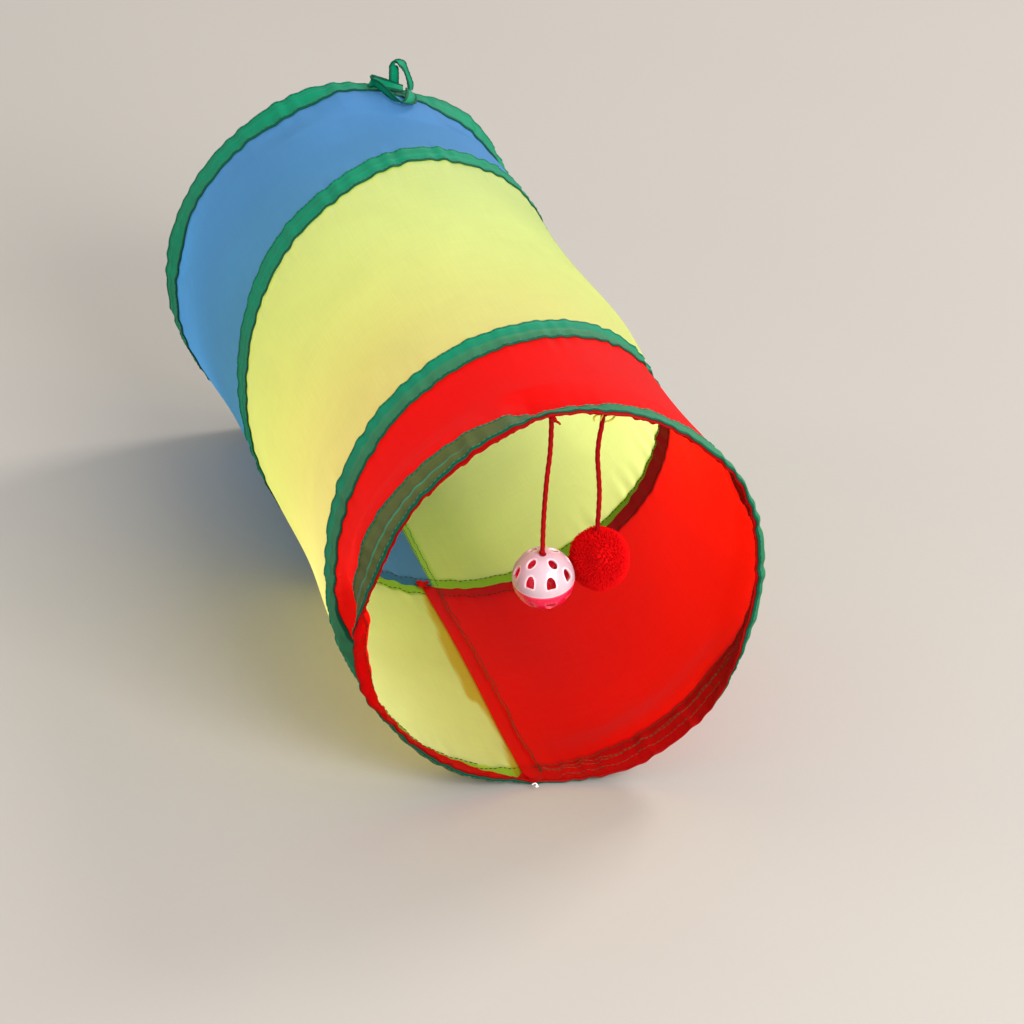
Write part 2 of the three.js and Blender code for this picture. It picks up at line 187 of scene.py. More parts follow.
# The middle panel puffs out low on its right side, more so towards the wire ahead
PUFF_ANGLE = 122.0
PUFF_SPREAD = 22.0
PUFF_OUT = 6.5
PUFF_LEAN = 2.2

PANELS = ("blue", "yellow", "red")

STANDING_LOOP = table(
    ("x", "y", "z", "heading", "rise"),
    [
        (17.9, 242.4, 251.6, 30, -2),
        (17.6, 243, 258.6, 26, -12),
        (17.4, 243.8, 263, 26, -16),
        (17.2, 244.6, 265.8, 32, -18),
        (17.8, 245.2, 267.6, 46, -12),
        (19.6, 245.6, 268, 54, 0),
        (22, 245.6, 267.4, 58, 10),
        (24, 245.2, 266.4, 59, 14),
        (25.9, 244.4, 263, 57, -6),
        (27.8, 243.2, 258.2, 50, -20),
        (29.2, 242, 253.1, 42, -28),
        (29.3, 240.9, 249.4, 60, -20),
    ],
)
LYING_LOOP = table(
    ("x", "y", "z", "heading", "rise"),
    [
        (26.4, 231, 253, 56, -14),
        (25.4, 224.5, 252.6, 48, -10),
        (23.2, 218, 252, 26, -4),
        (19.6, 213.6, 251.8, -34, 6),
        (15.5, 212.6, 252.8, -76, 14),
        (11.2, 214.2, 254.8, -88, 28),
        (6.7, 220.4, 257.5, -94, 46),
        (3.4, 228.6, 258.8, -100, 52),
        (0.6, 235.4, 258.7, -104, 50),
        (0.6, 239.2, 258, 30, 44),
        (5.2, 239.6, 257.1, 60, 34),
        (11.6, 236.8, 256, 62, 26),
        (17, 235, 254.8, 62, 16),
        (22, 234, 253.8, 60, 6),
    ],
)

BALL_CENTRE = (-10.1, -241.0, 141.6)
BALL_TOP = (-3.1, -3.4, 17.6)
BALL_STRING = [
    (-14.4, -239.6, 244.4),
    (-13.8, -239.7, 236),
    (-13.3, -240, 222),
    (-13.8, -240.5, 207),
    (-13.9, -241.1, 192.5),
    (-13.8, -242.2, 178),
    (-13.5, -243.6, 166),
    (-13.1, -244.2, 158.6),
]
POMPOM_CENTRE = (27.2, -229.0, 145.2)
POMPOM_STRING = [
    (20.2, -229, 241.6),
    (20, -229, 232),
    (19.3, -229, 224),
    (19.4, -229, 213),
    (21.2, -229, 201),
    (22.9, -229, 189),
    (23.7, -229, 176),
    (24.1, -229, 161.8),
]


def read_table(rows, key, column, place):
    """A column's value at each place between its rows, easing from row to row."""
    places, values = rows[key], rows[column]
    place = np.asarray(place, float)
    i = np.clip(np.searchsorted(places, place, side="right") - 1, 0, len(places) - 2)
    share = np.clip((place - places[i]) / (places[i + 1] - places[i]), 0, 1)
    share = share * share * (3 - 2 * share)
    return values[i] + (values[i + 1] - values[i]) * share


def smooth(value, low, high):
    share = np.clip((value - low) / (high - low), 0, 1)
    return share * share * (3 - 2 * share)


def wire_along(at):
    coiled = np.clip(np.asarray(at, float) - COIL_START, 0, 2 * TURN)
    return PITCH * (1 - coiled / TURN) + read_table(WIRE_STRAY, "at", "along", at)


def wire_out(at):
    return read_table(WIRE_STRAY, "at", "out", at)


def unit(vectors):
    return vectors / np.linalg.norm(vectors, axis=-1, keepdims=True)


def lengths_along(path):
    """The length of a path from its start to each of its places."""
    return np.concatenate([[0], np.cumsum(np.linalg.norm(np.diff(path, axis=0), axis=1))])


def nearness(angle, middle, spread):
    return np.exp(-(((angle - middle) / spread) ** 2))


def fold_depth(angle, turn):
    depth = np.zeros(np.broadcast(angle, turn).shape)
    for i in range(len(FOLDS["angle"])):
        depths = np.array([FOLDS[name][i] for name in PANELS])
        depth = depth + depths[turn] * nearness(angle, FOLDS["angle"][i], FOLDS["spread"][i])
    return depth


def cloth_out(angle, along):
    """How far the cloth lies out from its radius: it follows the wires and draws in between them."""
    turn = (along < wire_along(angle + TURN)).astype(int)
    turn = np.where((turn == 1) & (along < wire_along(angle + 2 * TURN)), 2, turn)
    behind = angle + turn * TURN
    ahead = behind + TURN
    back, front = wire_along(behind), wire_along(ahead)
    width = back - front
    share = np.where(width > 1, np.clip((back - along) / np.maximum(width, 1), 0, 1), 0)
    slack = np.sin(np.pi * share) ** 2 * width / PITCH
    sag = SAG_MEAN - SAG_SWING * np.cos(np.radians(angle))
    drawn_in = slack * (sag + fold_depth(angle, turn))
    puff = np.where(
        turn == 1,
        PUFF_OUT * nearness(angle, PUFF_ANGLE, PUFF_SPREAD) * np.sin(np.pi * share**PUFF_LEAN), 0
    )
    return wire_out(behind) + (wire_out(ahead) - wire_out(behind)) * share - drawn_in + puff


def ripple(angle, along, seed, waves, size):
    """A soft unevenness of the cloth from a few seeded waves, in millimetres."""
    rng = np.random.RandomState(seed)
    total = 0
    for turns, reach in waves:
        turns = rng.randint(turns[0], turns[1] + 1)
        total = total + np.sin(np.radians(angle) * turns + along / reach + rng.uniform(0, 2 * np.pi))
    return total * size / len(waves)


def seam_distance(angle, along):
    """How far each place lies from the nearest turn of wire, along the tunnel."""
    places = [wire_along(angle + k * TURN) for k in range(4)]
    return np.min([np.abs(along - place) for place in places], axis=0)


def relief(angle, along):
    """Puckers that run off the seams and soft dents over the whole cloth."""
    away = seam_distance(angle, along)
    pucker = ripple(angle, along, 3, [((38, 70), 60), ((50, 90), -45), ((24, 40), 80), ((70, 110), 50)], 1.6)
    short = 0.55 * np.exp(-np.maximum(away - TAPE_HALF_WIDTH, 0) / 12)
    dents = ripple(angle, along, 8, [((3, 6), 46), ((5, 9), -60), ((7, 12), 75), ((2, 4), -38)], 1.0)
    return pucker * short + dents * smooth(away, 14, 60)


def skin(angle, along, lift):
    """A place on the tunnel's skin, in millimetres, as the solids' source lays it."""
    angle = np.mod(np.asarray(angle, float), TURN)
    angle, along, lift = np.broadcast_arrays(angle, np.asarray(along, float), np.asarray(lift, float))
    far = along > 0
    outwards = np.where(far, 1.0, -1.0)
    start = np.where(far, 0.0, MOUTH_START)
    hoop_along = wire_along(start + angle)
    hoop_radius = CLOTH_RADIUS + wire_out(start + angle)
    past = outwards * (along - hoop_along)
    raised = CLOTH_RADIUS + cloth_out(angle, along) + lift + relief(angle, along) - hoop_radius
    held = 1 - smooth(-past, ROLL_WHOLE, ROLL_NONE)
    turned = np.where(
        far, read_table(HEM_ROLL, "angle", "far", angle), read_table(HEM_ROLL, "angle", "mouth", angle)
    )
    tuck = read_table(RIM_TUCK, "angle", "tuck", angle) * smooth(past, -1.5, 2.5)
    roll = np.radians(turned) * held + np.radians(np.where(far, 0, tuck))
    y = hoop_along + outwards * (past * np.cos(roll) + raised * np.sin(roll))
    radius = hoop_radius - past * np.sin(roll) + raised * np.cos(roll)
    around = np.radians(angle - 90)
    floor = np.maximum(OUTER_LIFT - lift, 0) * 0.6
    z = np.maximum(AXIS_HEIGHT + radius * np.sin(around), floor)
    return np.stack([radius * np.cos(around), y, z], axis=-1)


# Meshes


def link(obj):
    bpy.context.scene.collection.objects.link(obj)
    return obj


def mesh_object(name, bm):
    """An object from an editable mesh, whose faces turn outwards."""
    bmesh.ops.recalc_face_normals(bm, faces=bm.faces)
    mesh = bpy.data.meshes.new(name)
    bm.to_mesh(mesh)
    bm.free()
    return link(bpy.data.objects.new(name, mesh))


def add_faces(mesh, corners=()):
    """Adds a face round each list of a mesh's vertices and turns all its faces outwards."""
    bm = bmesh.new()
    bm.from_mesh(mesh)
    bm.verts.ensure_lookup_table()
    for face in corners:
        bm.faces.new([bm.verts[k] for k in face])
    bmesh.ops.recalc_face_normals(bm, faces=bm.faces)
    bm.to_mesh(mesh)
    bm.free()


def stand_for(piece, node):
    """Rides a piece on the body, in the place of its solid, which it hides."""
    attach(piece, "root")
    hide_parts(node)


def grid_object(name, points, material, u, v, round_u=False, round_v=False, attributes=None):
    """A mesh over a grid of points in millimetres, with a UV map in metres along the cloth."""
    rows, columns = points.shape[:2]
    i = np.arange(rows if round_u else rows - 1)
    j = np.arange(columns if round_v else columns - 1)
    i, j = np.meshgrid(i, j, indexing="ij")
    i2, j2 = (i + 1) % rows, (j + 1) % columns
    quads = np.stack([i * columns + j, i * columns + j2, i2 * columns + j2, i2 * columns + j], axis=-1)
    quads = quads.reshape(-1, 4)
    mesh = bpy.data.meshes.new(name)
    mesh.vertices.add(rows * columns)
    mesh.vertices.foreach_set("co", (points.reshape(-1, 3) * MM).ravel())
    mesh.loops.add(len(quads) * 4)
    mesh.loops.foreach_set("vertex_index", quads.ravel().astype(np.int32))
    mesh.polygons.add(len(quads))
    mesh.polygons.foreach_set("loop_start", np.arange(0, len(quads) * 4, 4, dtype=np.int32))
    u_corners = np.stack([u[i], u[i], u[i + 1], u[i + 1]], axis=-1)
    v_corners = np.stack([v[j], v[j + 1], v[j + 1], v[j]], axis=-1)
    layer = mesh.uv_layers.new(name="cloth_uv")
    mesh.update(calc_edges=True)
    layer.data.foreach_set("uv", (np.stack([u_corners, v_corners], axis=-1) * MM).ravel())
    for key, values in (attributes or {}).items():
        attribute = mesh.attributes.new(key, "FLOAT", "POINT")
        attribute.data.foreach_set("value", np.asarray(values, np.float32).ravel())
    mesh.materials.append(material)
    mesh.shade_smooth()
    mesh.validate()
    return link(bpy.data.objects.new(name, mesh))


def object_from(name, vertices, faces, material):
    mesh = bpy.data.meshes.new(name)
    mesh.from_pydata([tuple(p) for p in vertices], [], faces)
    mesh.materials.append(material)
    mesh.shade_smooth()
    return link(bpy.data.objects.new(name, mesh))


def smooth_path(points, count):
    """Evenly spaced places on a smooth curve through the points, in their own unit."""
    points = np.array(points, float)
    ends = np.concatenate([[2 * points[0] - points[1]], points, [2 * points[-1] - points[-2]]])
    fine = []
    for k in range(len(points) - 1):
        p0, p1, p2, p3 = ends[k : k + 4]
        for t in np.linspace(0, 1, 24, endpoint=False):
            fine.append(
                0.5
                * (
                    2 * p1
                    + (p2 - p0) * t
                    + (2 * p0 - 5 * p1 + 4 * p2 - p3) * t * t
                    + (3 * p1 - p0 - 3 * p2 + p3) * t**3
                )
            )
    fine.append(points[-1])
    fine = np.array(fine)
    steps = lengths_along(fine)
    even = np.linspace(0, steps[-1], count)
    return np.stack([np.interp(even, steps, fine[:, k]) for k in range(points.shape[1])], axis=1)


def path_frames(path):
    """Two directions across a path that don't spin about its course."""
    course = unit(np.gradient(path, axis=0))
    side = np.cross(course[0], [0.3, 1, 0.2])
    sides = []
    for direction in course:
        side = unit(side - direction * (side @ direction))
        sides.append(side)
    return np.array(sides), np.cross(course, sides)


def tube(name, path, radii, sides, material, strands=0, depth=0.0, twist=0.0):
    """A closed round tube along a path in millimetres, with the look of twisted strands."""
    across, other = path_frames(path)
    lengths = lengths_along(path)
    turn = np.linspace(0, 2 * np.pi, sides, endpoint=False)
    radii = np.broadcast_to(np.asarray(radii, float), (len(path),))
    wave = 1 + depth * np.cos(strands * turn[None, :] + lengths[:, None] * twist)
    reach = radii[:, None] * wave
    rings = (
        path[:, None, :]
        + across[:, None, :] * (np.cos(turn)[None, :] * reach)[..., None]
        + other[:, None, :] * (np.sin(turn)[None, :] * reach)[..., None]
    )
    rows = len(path)
    vertices = list(rings.reshape(-1, 3) * MM) + [path[0] * MM, path[-1] * MM]
    faces = []
    for i in range(rows - 1):
        for j in range(sides):
            k = (j + 1) % sides
            faces.append((i * sides + j, i * sides + k, (i + 1) * sides + k, (i + 1) * sides + j))
    first, last = rows * sides, rows * sides + 1
    for j in range(sides):
        k = (j + 1) % sides
        faces.append((first, k, j))
        faces.append((last, (rows - 1) * sides + j, (rows - 1) * sides + k))
    return object_from(name, vertices, faces, material)


# Shader node groups and materials


def wire(tree, source, target):
    tree.links.new(source, target)


def feed(tree, node, values):
    """Sets a node's inputs, by name or by number, from sockets or plain values."""
    for key, value in values.items():
        if isinstance(value, bpy.types.NodeSocket):
            wire(tree, value, node.inputs[key])
        else:
            node.inputs[key].default_value = value


def add(tree, kind, inputs=None, **values):
    """A node with its properties and inputs set; inputs holds those whose names aren't single words."""
    node = tree.nodes.new(kind)
    for key in [key for key in values if hasattr(node, key)]:
        setattr(node, key, values.pop(key))
    feed(tree, node, {**values, **(inputs or {})})
    return node


def maths(tree, operation, *values):
    """A Math node fed by sockets or numbers; gives its output socket."""
    return add(tree, "ShaderNodeMath", dict(enumerate(values)), operation=operation).outputs[0]


def line(tree, value, slope, rest):
    return maths(tree, "MULTIPLY_ADD", value, slope, rest)


def blend_colour(tree, kind, share, a, b):
    """A colour mix fed by sockets or colours; gives its output socket."""
    node = add(tree, "ShaderNodeMix", data_type="RGBA", blend_type=kind)
    feed(tree, node, {0: share, 6: a, 7: b})
    return node.outputs[2]


def noise(tree, place, **values):
    return add(tree, "ShaderNodeTexNoise", Vector=place, **values).outputs[0]


def shader_group(name, numbers, results):
    """A group that reads a vector, with named numbers to set and named results."""
    tree = bpy.data.node_groups.new(name, "ShaderNodeTree")
    tree.interface.new_socket("Vector", in_out="INPUT", socket_type="NodeSocketVector")
    for label, value in numbers.items():
        socket = tree.interface.new_socket(label, in_out="INPUT", socket_type="NodeSocketFloat")
        socket.default_value = value
    for label in results:
        tree.interface.new_socket(label, in_out="OUTPUT", socket_type="NodeSocketFloat")
    return tree, tree.nodes.new("NodeGroupInput").outputs, tree.nodes.new("NodeGroupOutput")


def taffeta_group():
    """Plain weave with its slubs: a height, and a shade that varies from thread to thread."""
    numbers = {"Threads Per Metre": 1600.0, "Slub": 0.5}
    tree, given, out = shader_group("Taffeta Weave", numbers, ("Height", "Shade"))
    parts = add(tree, "ShaderNodeSeparateXYZ", {0: given["Vector"]}).outputs
    waves = []
    for part in (parts[0], parts[1]):
        threads = maths(tree, "MULTIPLY", part, given["Threads Per Metre"])
        waves.append(maths(tree, "SINE", maths(tree, "MULTIPLY", threads, math.pi)))
    shades = []
    for stretch in ((30.0, 900.0, 1.0), (900.0, 30.0, 1.0)):
        mapping = add(tree, "ShaderNodeMapping", Vector=given["Vector"], Scale=stretch)
        shades.append(noise(tree, mapping.outputs[0], Scale=1.0, Detail=1.0))
    both = maths(tree, "SUBTRACT", maths(tree, "ADD", *shades), 1.0)
    height = line(tree, maths(tree, "MULTIPLY", *waves), 0.5, 0.5)
    feed(tree, out, {"Height": height, "Shade": maths(tree, "MULTIPLY", both, given["Slub"])})
    return tree


def crease_group():
    """Fine creases and soft dimples over pressed cloth: a height."""
    numbers = {"Crease Scale": 14.0, "Dimple Scale": 60.0}
    tree, given, out = shader_group("Cloth Creases", numbers, ("Height", "Patches"))
    place = given["Vector"]
    broad = noise(tree, place, Scale=given["Crease Scale"], Detail=2.0, Roughness=0.45, Distortion=0.6)
    fine = noise(tree, place, Scale=given["Dimple Scale"], Detail=2.0, Roughness=0.5, Distortion=0.3)
    ridge = maths(tree, "ABSOLUTE", maths(tree, "SUBTRACT", broad, 0.5))
    feed(tree, out, {"Height": line(tree, fine, 0.25, ridge), "Patches": broad})
    return tree


GROUPS = {}
GROUP_MAKERS = {"Taffeta Weave": taffeta_group, "Cloth Creases": crease_group}


def group_node(tree, name, place, numbers=None):
    if name not in GROUPS:
        GROUPS[name] = GROUP_MAKERS[name]()
    inputs = {"Vector": place, **(numbers or {})}
    return add(tree, "ShaderNodeGroup", inputs, node_tree=GROUPS[name]).outputs


def new_material(name):
    """A material, its cleared tree, its output and its object coordinates."""
    material = bpy.data.materials.new(name)
    material.use_nodes = True
    tree = material.node_tree
    tree.nodes.clear()
    out = tree.nodes.new("ShaderNodeOutputMaterial")
    return material, tree, out, tree.nodes.new("ShaderNodeTexCoord").outputs["Object"]


def colour4(values):
    return (values[0], values[1], values[2], 1.0)


def attribute_value(tree, name):
    return add(tree, "ShaderNodeAttribute", attribute_name=name).outputs["Fac"]


def overlay(tree, name, under, colour):
    """A colour laid over another as far as the named attribute says."""
    return blend_colour(tree, "MIX", attribute_value(tree, name), under, colour4(colour))


def toned(tree, colour, tone):
    return blend_colour(tree, "MULTIPLY", 1.0, colour, tone)


def surface(tree, out, base, height, distance, rough, specular, through=None, share=0.0, coat=None):
    """A Principled surface with a bump; with a share, light also passes through it."""
    bump = add(tree, "ShaderNodeBump", Strength=1.0, Distance=distance, Height=height).outputs[0]
    inputs = {"Base Color": base, "Normal": bump, "Specular IOR Level": specular, **(coat or {})}
    shader = add(tree, "ShaderNodeBsdfPrincipled", inputs, Roughness=rough).outputs[0]
    if through is not None:
        glow = add(tree, "ShaderNodeBsdfTranslucent", Color=through, Normal=bump)
        shader = add(tree, "ShaderNodeMixShader", {0: share, 1: shader, 2: glow.outputs[0]}).outputs[0]
    wire(tree, shader, out.inputs[0])


def woven(tree, place, scales=None):
    """The outputs of the weave over the piece's own UV map and of the creases over its place."""
    uv = add(tree, "ShaderNodeUVMap", uv_map="cloth_uv").outputs[0]
    return group_node(tree, "Taffeta Weave", uv), group_node(tree, "Cloth Creases", place, scales)


def cloth_material(name, base, through, taped, doubled, share=0.6):
    """Thin taffeta that lets light through, with painted shade where tape or a second layer lies behind it.
    """
    material, tree, out, place = new_material(name)
    weave, creases = woven(tree, place)
    shade = line(tree, weave["Shade"], 0.12, 1.0)
    tone = maths(tree, "MULTIPLY", shade, line(tree, creases["Patches"], 0.16, 0.92))
    tints = []
    for colour in (base, through):
        tape_shaded = overlay(tree, "taped", colour4(colour), taped)
        tints.append(toned(tree, overlay(tree, "doubled", tape_shaded, doubled), tone))
    height = line(tree, weave["Height"], 0.06, creases["Height"])
    rough = line(tree, creases["Patches"], 0.2, 0.4)
    surface(tree, out, tints[0], height, 0.0016, rough, 0.1, tints[1], share)
    return material


def tape_material(name, base, edge, over_red, crest):
    """Thin tape turned over its edges: painted shade on the turned edges, a painted highlight line over the
    wire, and the cloth showing through with painted shade.
    """
    material, tree, out, place = new_material(name)
    weave, creases = woven(tree, place, {"Crease Scale": 30.0, "Dimple Scale": 130.0})
    colour = colour4(base)
    for key, over in (("over_red", over_red), ("folded", edge), ("crest", crest)):
        colour = overlay(tree, key, colour, over)
    tone = line(tree, creases["Patches"], 0.3, line(tree, weave["Shade"], 0.2, 0.92))
    final = toned(tree, colour, maths(tree, "SUBTRACT", tone, 0.1))
    height = line(tree, weave["Height"], 0.08, creases["Height"])
    rough = line(tree, creases["Patches"], 0.2, 0.35)
    surface(tree, out, final, height, 0.0014, rough, 0.1, final, 0.25)
    return material


def thread_material(name, base):
    material, tree, out, place = new_material(name)
    twist = noise(tree, place, Scale=900.0, Detail=2.0)
    surface(tree, out, toned(tree, colour4(base), line(tree, twist, 0.6, 0.7)), twist, 0.0001, 0.55, 0.2)
    return material


def cord_material(name, base):
    """Soft twisted cord: fine strands along it and a slightly uneven dye."""
    material, tree, out, place = new_material(name)
    mapping = add(tree, "ShaderNodeMapping", Vector=place, Scale=(1400.0, 1400.0, 260.0))
    strands = noise(tree, mapping.outputs[0], Scale=1.0, Detail=2.0, Roughness=0.6)
    dye = noise(tree, place, Scale=60.0, Detail=1.0)
    tone = line(tree, dye, 0.3, line(tree, strands, 0.7, 0.45))
    surface(tree, out, toned(tree, colour4(base), tone), strands, 0.0003, 0.75, 0.06)
    return material


def pile_material(name, root, tip):
    """Short dense pile: darker at its roots with painted shade, brighter at its tips."""
    material, tree, out, place = new_material(name)
    tufts = noise(tree, place, Scale=420.0, Detail=2.0)
    # The root colour is painted shade among the fibres, darker than the tips.
    final = toned(tree, overlay(tree, "tip", colour4(root), tip), line(tree, tufts, 0.2, 0.9))
    surface(tree, out, final, tufts, 0.0003, 0.85, 0.08)
    return material


def plastic_material(name, base, rim, through, share, roughness):
    """Moulded plastic with a faint flow pattern, paler at the rims of its holes with a painted highlight."""
    material, tree, out, place = new_material(name)
    flow = noise(tree, place, Scale=90.0, Detail=3.0, Distortion=1.2)
    fine = noise(tree, place, Scale=900.0, Detail=2.0)
    tone = line(tree, flow, 0.24, 0.88)
    # Painted highlight at the rims of the holes and at the parting line.
    final = toned(tree, overlay(tree, "rim", colour4(base), rim), tone)
    glow = toned(tree, colour4(through), tone)
    rough = line(tree, flow, 0.2, roughness - 0.1)
    coat = {"Coat Weight": 0.4, "Coat Roughness": 0.12}
    surface(tree, out, final, fine, 0.00006, rough, 0.5, glow, share, coat)
    return material


def floor_material():
    material, tree, out, place = new_material("pale floor")
    tone = line(tree, noise(tree, place, Scale=3.0, Detail=2.0), 0.04, 0.98)
    fine = noise(tree, place, Scale=220.0, Detail=2.0)
    colour = colour4(bpy.context.scene.cat_tunnel_stage.floor)
    surface(tree, out, toned(tree, colour, tone), fine, 0.0001, 0.6, 0.3)
    return material


# Colours of the threads and lint
THREADS = {
    "green_thread": ("green thread", (0.012, 0.17, 0.09)),
    "hem_thread": ("ochre thread", (0.07, 0.035, 0.008)),
    "bright_thread": ("bright green thread", (0.06, 0.3, 0.06)),
    "olive_thread": ("olive thread", (0.03, 0.022, 0.004)),
    "tail_thread": ("straw thread", (0.55, 0.44, 0.03)),
    "lint": ("white lint", (0.85, 0.8, 0.78)),
}
MATERIALS = {}


def make_material(key):
    """A new material from the scene's colour settings and the fixed tints beside them."""
    looks = bpy.context.scene.cat_tunnel_colours
    if key in THREADS:
        return thread_material(*THREADS[key])
    # The cloths' two fixed tints are painted shade: the tape's shade seen through the cloth, and a second
    # layer's shade; on the yellow the first is lime and the second amber.
    if key == "blue":
        taped, doubled = (0.05, 0.2, 0.42), (0.03, 0.14, 0.3)
        return cloth_material("blue taffeta", looks.blue, looks.blue_through, taped, doubled)
    if key == "yellow":
        taped, doubled = (0.52, 0.75, 0.06), (0.66, 0.48, 0.005)
        return cloth_material("yellow taffeta", looks.yellow, looks.yellow_through, taped, doubled, 0.72)
    if key == "red":
        taped, doubled = (0.6, 0.002, 0.003), (0.36, 0.002, 0.002)
        return cloth_material("red taffeta", looks.red, looks.red_through, taped, doubled)
    if key == "green":
        # The binding's tints: painted shade on its turned edges, the red cloth showing through with painted
        # shade over it, and a painted highlight over the wire.
        edge, over_red, crest = (0.001, 0.075, 0.036), (0.085, 0.1, 0.024), (0.02, 0.26, 0.15)
        return tape_material("green binding", looks.green, edge, over_red, crest)
    if key == "cord":
        return cord_material("red cord", looks.cord)
    if key == "pile":
        # The pile's darker root colour is painted shade.
        return pile_material("red pile", (0.62, 0.001, 0.002), looks.pile)
    # The plastics' paler rim tints are painted highlights.
    if key == "pearl":
        rim, through = (0.95, 0.72, 0.74), (0.9, 0.45, 0.5)
        return plastic_material("pearly plastic", looks.pearl, rim, through, 0.25, 0.3)
    if key == "pink":
        rim, through = (0.95, 0.12, 0.18), (0.95, 0.04, 0.1)
        return plastic_material("pink plastic", looks.pink, rim, through, 0.35, 0.28)
    return floor_material()


def material_of(key):
    """The material with that key, made the first time it is asked for."""
    if key not in MATERIALS:
        MATERIALS[key] = make_material(key)
    return MATERIALS[key]


# Geometry Nodes trees


def geometry_tree(name, numbers):
    """A tree with a geometry, named numbers and a material to set."""
    tree = bpy.data.node_groups.new(name, "GeometryNodeTree")
    tree.interface.new_socket("Geometry", in_out="INPUT", socket_type="NodeSocketGeometry")
    for label, value in numbers.items():
        kind = "NodeSocketInt" if isinstance(value, int) else "NodeSocketFloat"
        tree.interface.new_socket(label, in_out="INPUT", socket_type=kind).default_value = value
    tree.interface.new_socket("Material", in_out="INPUT", socket_type="NodeSocketMaterial")
    tree.interface.new_socket("Geometry", in_out="OUTPUT", socket_type="NodeSocketGeometry")
    return tree, tree.nodes.new("NodeGroupInput").outputs, tree.nodes.new("NodeGroupOutput")


def finish_tree(tree, given, out, geometry):
    """Ends a tree in Realize Instances and Set Material."""
    real = add(tree, "GeometryNodeRealizeInstances", {0: geometry})
    paint = add(tree, "GeometryNodeSetMaterial", Geometry=real.outputs[0], Material=given["Material"])
    wire(tree, paint.outputs[0], out.inputs[0])


def stitch_tree():
    """Stitches laid end to end along each path."""
    numbers = {"Stitch": 0.0028, "Gap": 0.0009, "Thread Radius": 0.00022}
    tree, given, out = geometry_tree("Stitch Row", numbers)
    curve = add(tree, "GeometryNodeMeshToCurve", Mesh=given["Geometry"]).outputs[0]
    step = maths(tree, "ADD", given["Stitch"], given["Gap"])
    spots = add(tree, "GeometryNodeResampleCurve", mode="LENGTH", Curve=curve, Length=step)
    grain = add(tree, "GeometryNodeMeshIcoSphere", Radius=1.0, Subdivisions=1)
    half, radius = maths(tree, "MULTIPLY", given["Stitch"], 0.5), given["Thread Radius"]
    size = add(tree, "ShaderNodeCombineXYZ", X=radius, Y=radius, Z=half).outputs[0]
    shaped = add(tree, "GeometryNodeTransform", Geometry=grain.outputs["Mesh"], Scale=size).outputs[0]
    course = tree.nodes.new("GeometryNodeInputTangent").outputs[0]
    turned = add(tree, "FunctionNodeAlignRotationToVector", axis="Z", Vector=course).outputs[0]
    laid = add(
        tree, "GeometryNodeInstanceOnPoints", Points=spots.outputs[0], Instance=shaped, Rotation=turned
    )
    finish_tree(tree, given, out, laid.outputs[0])
    return tree


def pile_tree():
    """Short tapered fibres over a surface, leaning a little each its own way, with their own lengths."""
    numbers = {"Fibre Density": 1800000.0, "Fibre Length": 0.0028, "Fibre Radius": 0.00028}
    tree, given, out = geometry_tree("Cut Pile", {**numbers, "Lean": 0.35, "Seed": 5})
    base, seed, radius = given["Geometry"], given["Seed"], given["Fibre Radius"]
    scatter = add(
        tree, "GeometryNodeDistributePointsOnFaces", Mesh=base, Density=given["Fibre Density"], Seed=seed
    ).outputs
    taper = {"Side Segments": 2, "Radius Top": 0.35, "Radius Bottom": 1.0}
    cone = add(tree, "GeometryNodeMeshCone", taper, Vertices=4, Depth=1.0).outputs["Mesh"]
    spot = tree.nodes.new("GeometryNodeInputPosition").outputs[0]
    # Each fibre's height along itself, which sets how much painted shade its root gets.
    height = add(tree, "ShaderNodeSeparateXYZ", {0: spot}).outputs[2]
    marked = add(tree, "GeometryNodeStoreNamedAttribute", data_type="FLOAT", domain="POINT")
    feed(tree, marked, {"Name": "tip", "Geometry": cone, "Value": height})
    span = {0: (-1.0, -1.0, -1.0), 1: (1.0, 1.0, 1.0)}
    leans = add(tree, "FunctionNodeRandomValue", span, data_type="FLOAT_VECTOR", Seed=seed).outputs[0]
    scaled = add(tree, "ShaderNodeVectorMath", {0: leans}, operation="SCALE", Scale=given["Lean"])
    sides = {0: scatter["Normal"], 1: scaled.outputs[0]}
    aim = add(tree, "ShaderNodeVectorMath", sides, operation="ADD").outputs[0]
    turned = add(tree, "FunctionNodeAlignRotationToVector", axis="Z", Vector=aim).outputs[0]
    spread = {2: 0.75, 3: 1.1}
    lengths = add(tree, "FunctionNodeRandomValue", spread, data_type="FLOAT", Seed=seed).outputs[1]
    tall = maths(tree, "MULTIPLY", lengths, given["Fibre Length"])
    size = add(tree, "ShaderNodeCombineXYZ", X=radius, Y=radius, Z=tall).outputs[0]
    stood = add(tree, "GeometryNodeInstanceOnPoints", Rotation=turned, Scale=size)
    feed(tree, stood, {"Points": scatter["Points"], "Instance": marked.outputs[0]})
    both = tree.nodes.new("GeometryNodeJoinGeometry")
    wire(tree, base, both.inputs[0])
    wire(tree, stood.outputs[0], both.inputs[0])
    finish_tree(tree, given, out, both.outputs[0])
    return tree


def evaluated_mesh(obj):
    """The mesh of an object with its modifiers applied."""
    bpy.context.view_layer.update()
    return bpy.data.meshes.new_from_object(obj.evaluated_get(bpy.context.evaluated_depsgraph_get()))


def apply_tree(name, source, tree, values):
    """A plain mesh object from a source object through a tree; the source is removed."""
    modifier = source.modifiers.new("Nodes", "NODES")
    modifier.node_group = tree
    names = {item.name: item.identifier for item in tree.interface.items_tree if item.in_out == "INPUT"}
    for label, value in values.items():
        modifier[names[label]] = value
    mesh = evaluated_mesh(source)
    mesh.name = name
    source.modifiers.remove(modifier)
    bpy.data.objects.remove(source)
    return link(bpy.data.objects.new(name, mesh))


# Settings


